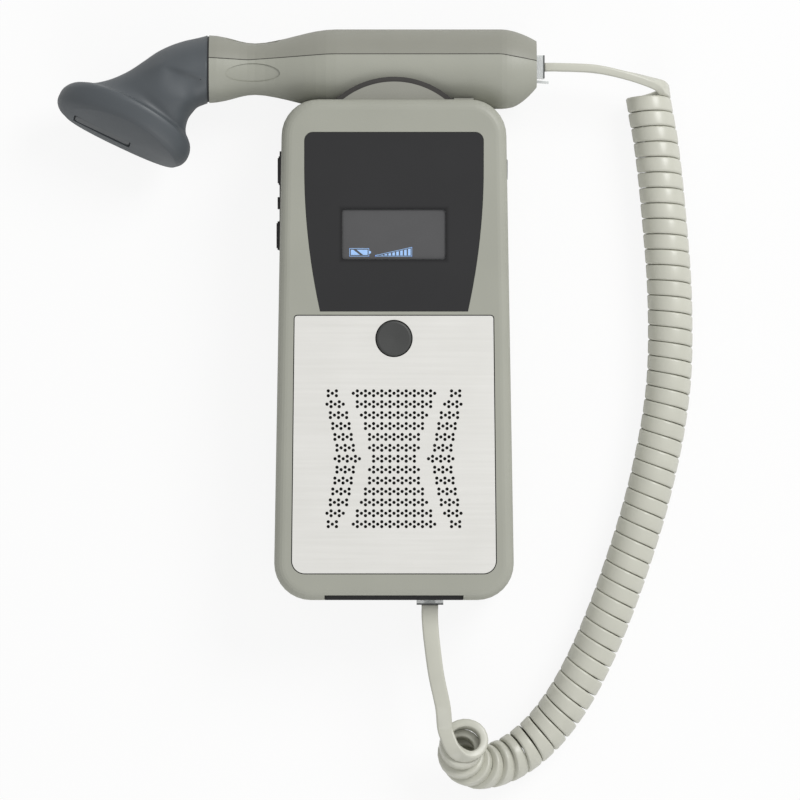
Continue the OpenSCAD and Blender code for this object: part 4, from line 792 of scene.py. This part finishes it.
floor_points = [(0, 0, FLOOR_Z)]
for radius in FLOOR_RADII:
    for k in range(FLOOR_SPOKES):
        a = 2 * math.pi * k / FLOOR_SPOKES
        floor_points.append((radius * math.cos(a), radius * math.sin(a), FLOOR_Z))
floor_faces = [(0, 1 + k, 1 + (k + 1) % FLOOR_SPOKES) for k in range(FLOOR_SPOKES)]
for row in range(len(FLOOR_RADII) - 1):
    for k in range(FLOOR_SPOKES):
        a = 1 + FLOOR_SPOKES * row + k
        b = 1 + FLOOR_SPOKES * row + (k + 1) % FLOOR_SPOKES
        floor_faces.append((a, a + FLOOR_SPOKES, b + FLOOR_SPOKES, b))
piece("table_top", floor_points, floor_faces, floor_finish, None, smooth=False)

room = bpy.data.worlds.new("white_room")
room.use_nodes = True
bpy.context.scene.world = room
background = room.node_tree.nodes["Background"]
background.inputs["Color"].default_value = (1, 1, 1, 1)
walls = Shade(background.outputs[0])
walls_seen = walls.maths("MAXIMUM", walls.node("LightPath", {}, output="Is Camera Ray"),
                         walls.node("LightPath", {}, output="Is Transmission Ray"))
walls.tree.links.new((ROOM_LIGHT + (1 - ROOM_LIGHT) * walls_seen).socket,
                     background.inputs["Strength"])


def soft_lamp(name, place, size, energy):
    """Round lamp of this size in metres and power in watts that shines on the object's middle."""
    made = bpy.data.objects.new(name, bpy.data.lights.new(name, "AREA"))
    made.data.shape = "DISK"
    made.data.size, made.data.energy = size, energy
    x, y, z = place
    made.location = place
    made.rotation_euler = (math.atan2(math.hypot(x, y), z), 0.0, math.atan2(x, -y))
    bpy.context.scene.collection.objects.link(made)


soft_lamp("key_lamp", (0.72, 0.72, 0.95), 0.7, 11.5)
soft_lamp("fill_lamp", (0.1, -0.95, 0.7), 0.8, 3.0)


# The view: the object lies on its back and is seen from straight above, from far enough away
# that its sides hardly show. The picture is 229.6 mm wide at the height of the jack.
VIEW_WIDTH, VIEW_LEVEL, VIEW_PLACE = 0.2296, 0.0236, (0.00172, -0.0144, 2.5)
view = bpy.data.objects.new("view", bpy.data.cameras.new("view"))
view.location = VIEW_PLACE
view.data.lens = view.data.sensor_width * (VIEW_PLACE[2] - VIEW_LEVEL) / VIEW_WIDTH
view.data.clip_end = 20
bpy.context.scene.collection.objects.link(view)
bpy.context.scene.camera = view
bpy.context.scene.view_settings.view_transform = "Standard"
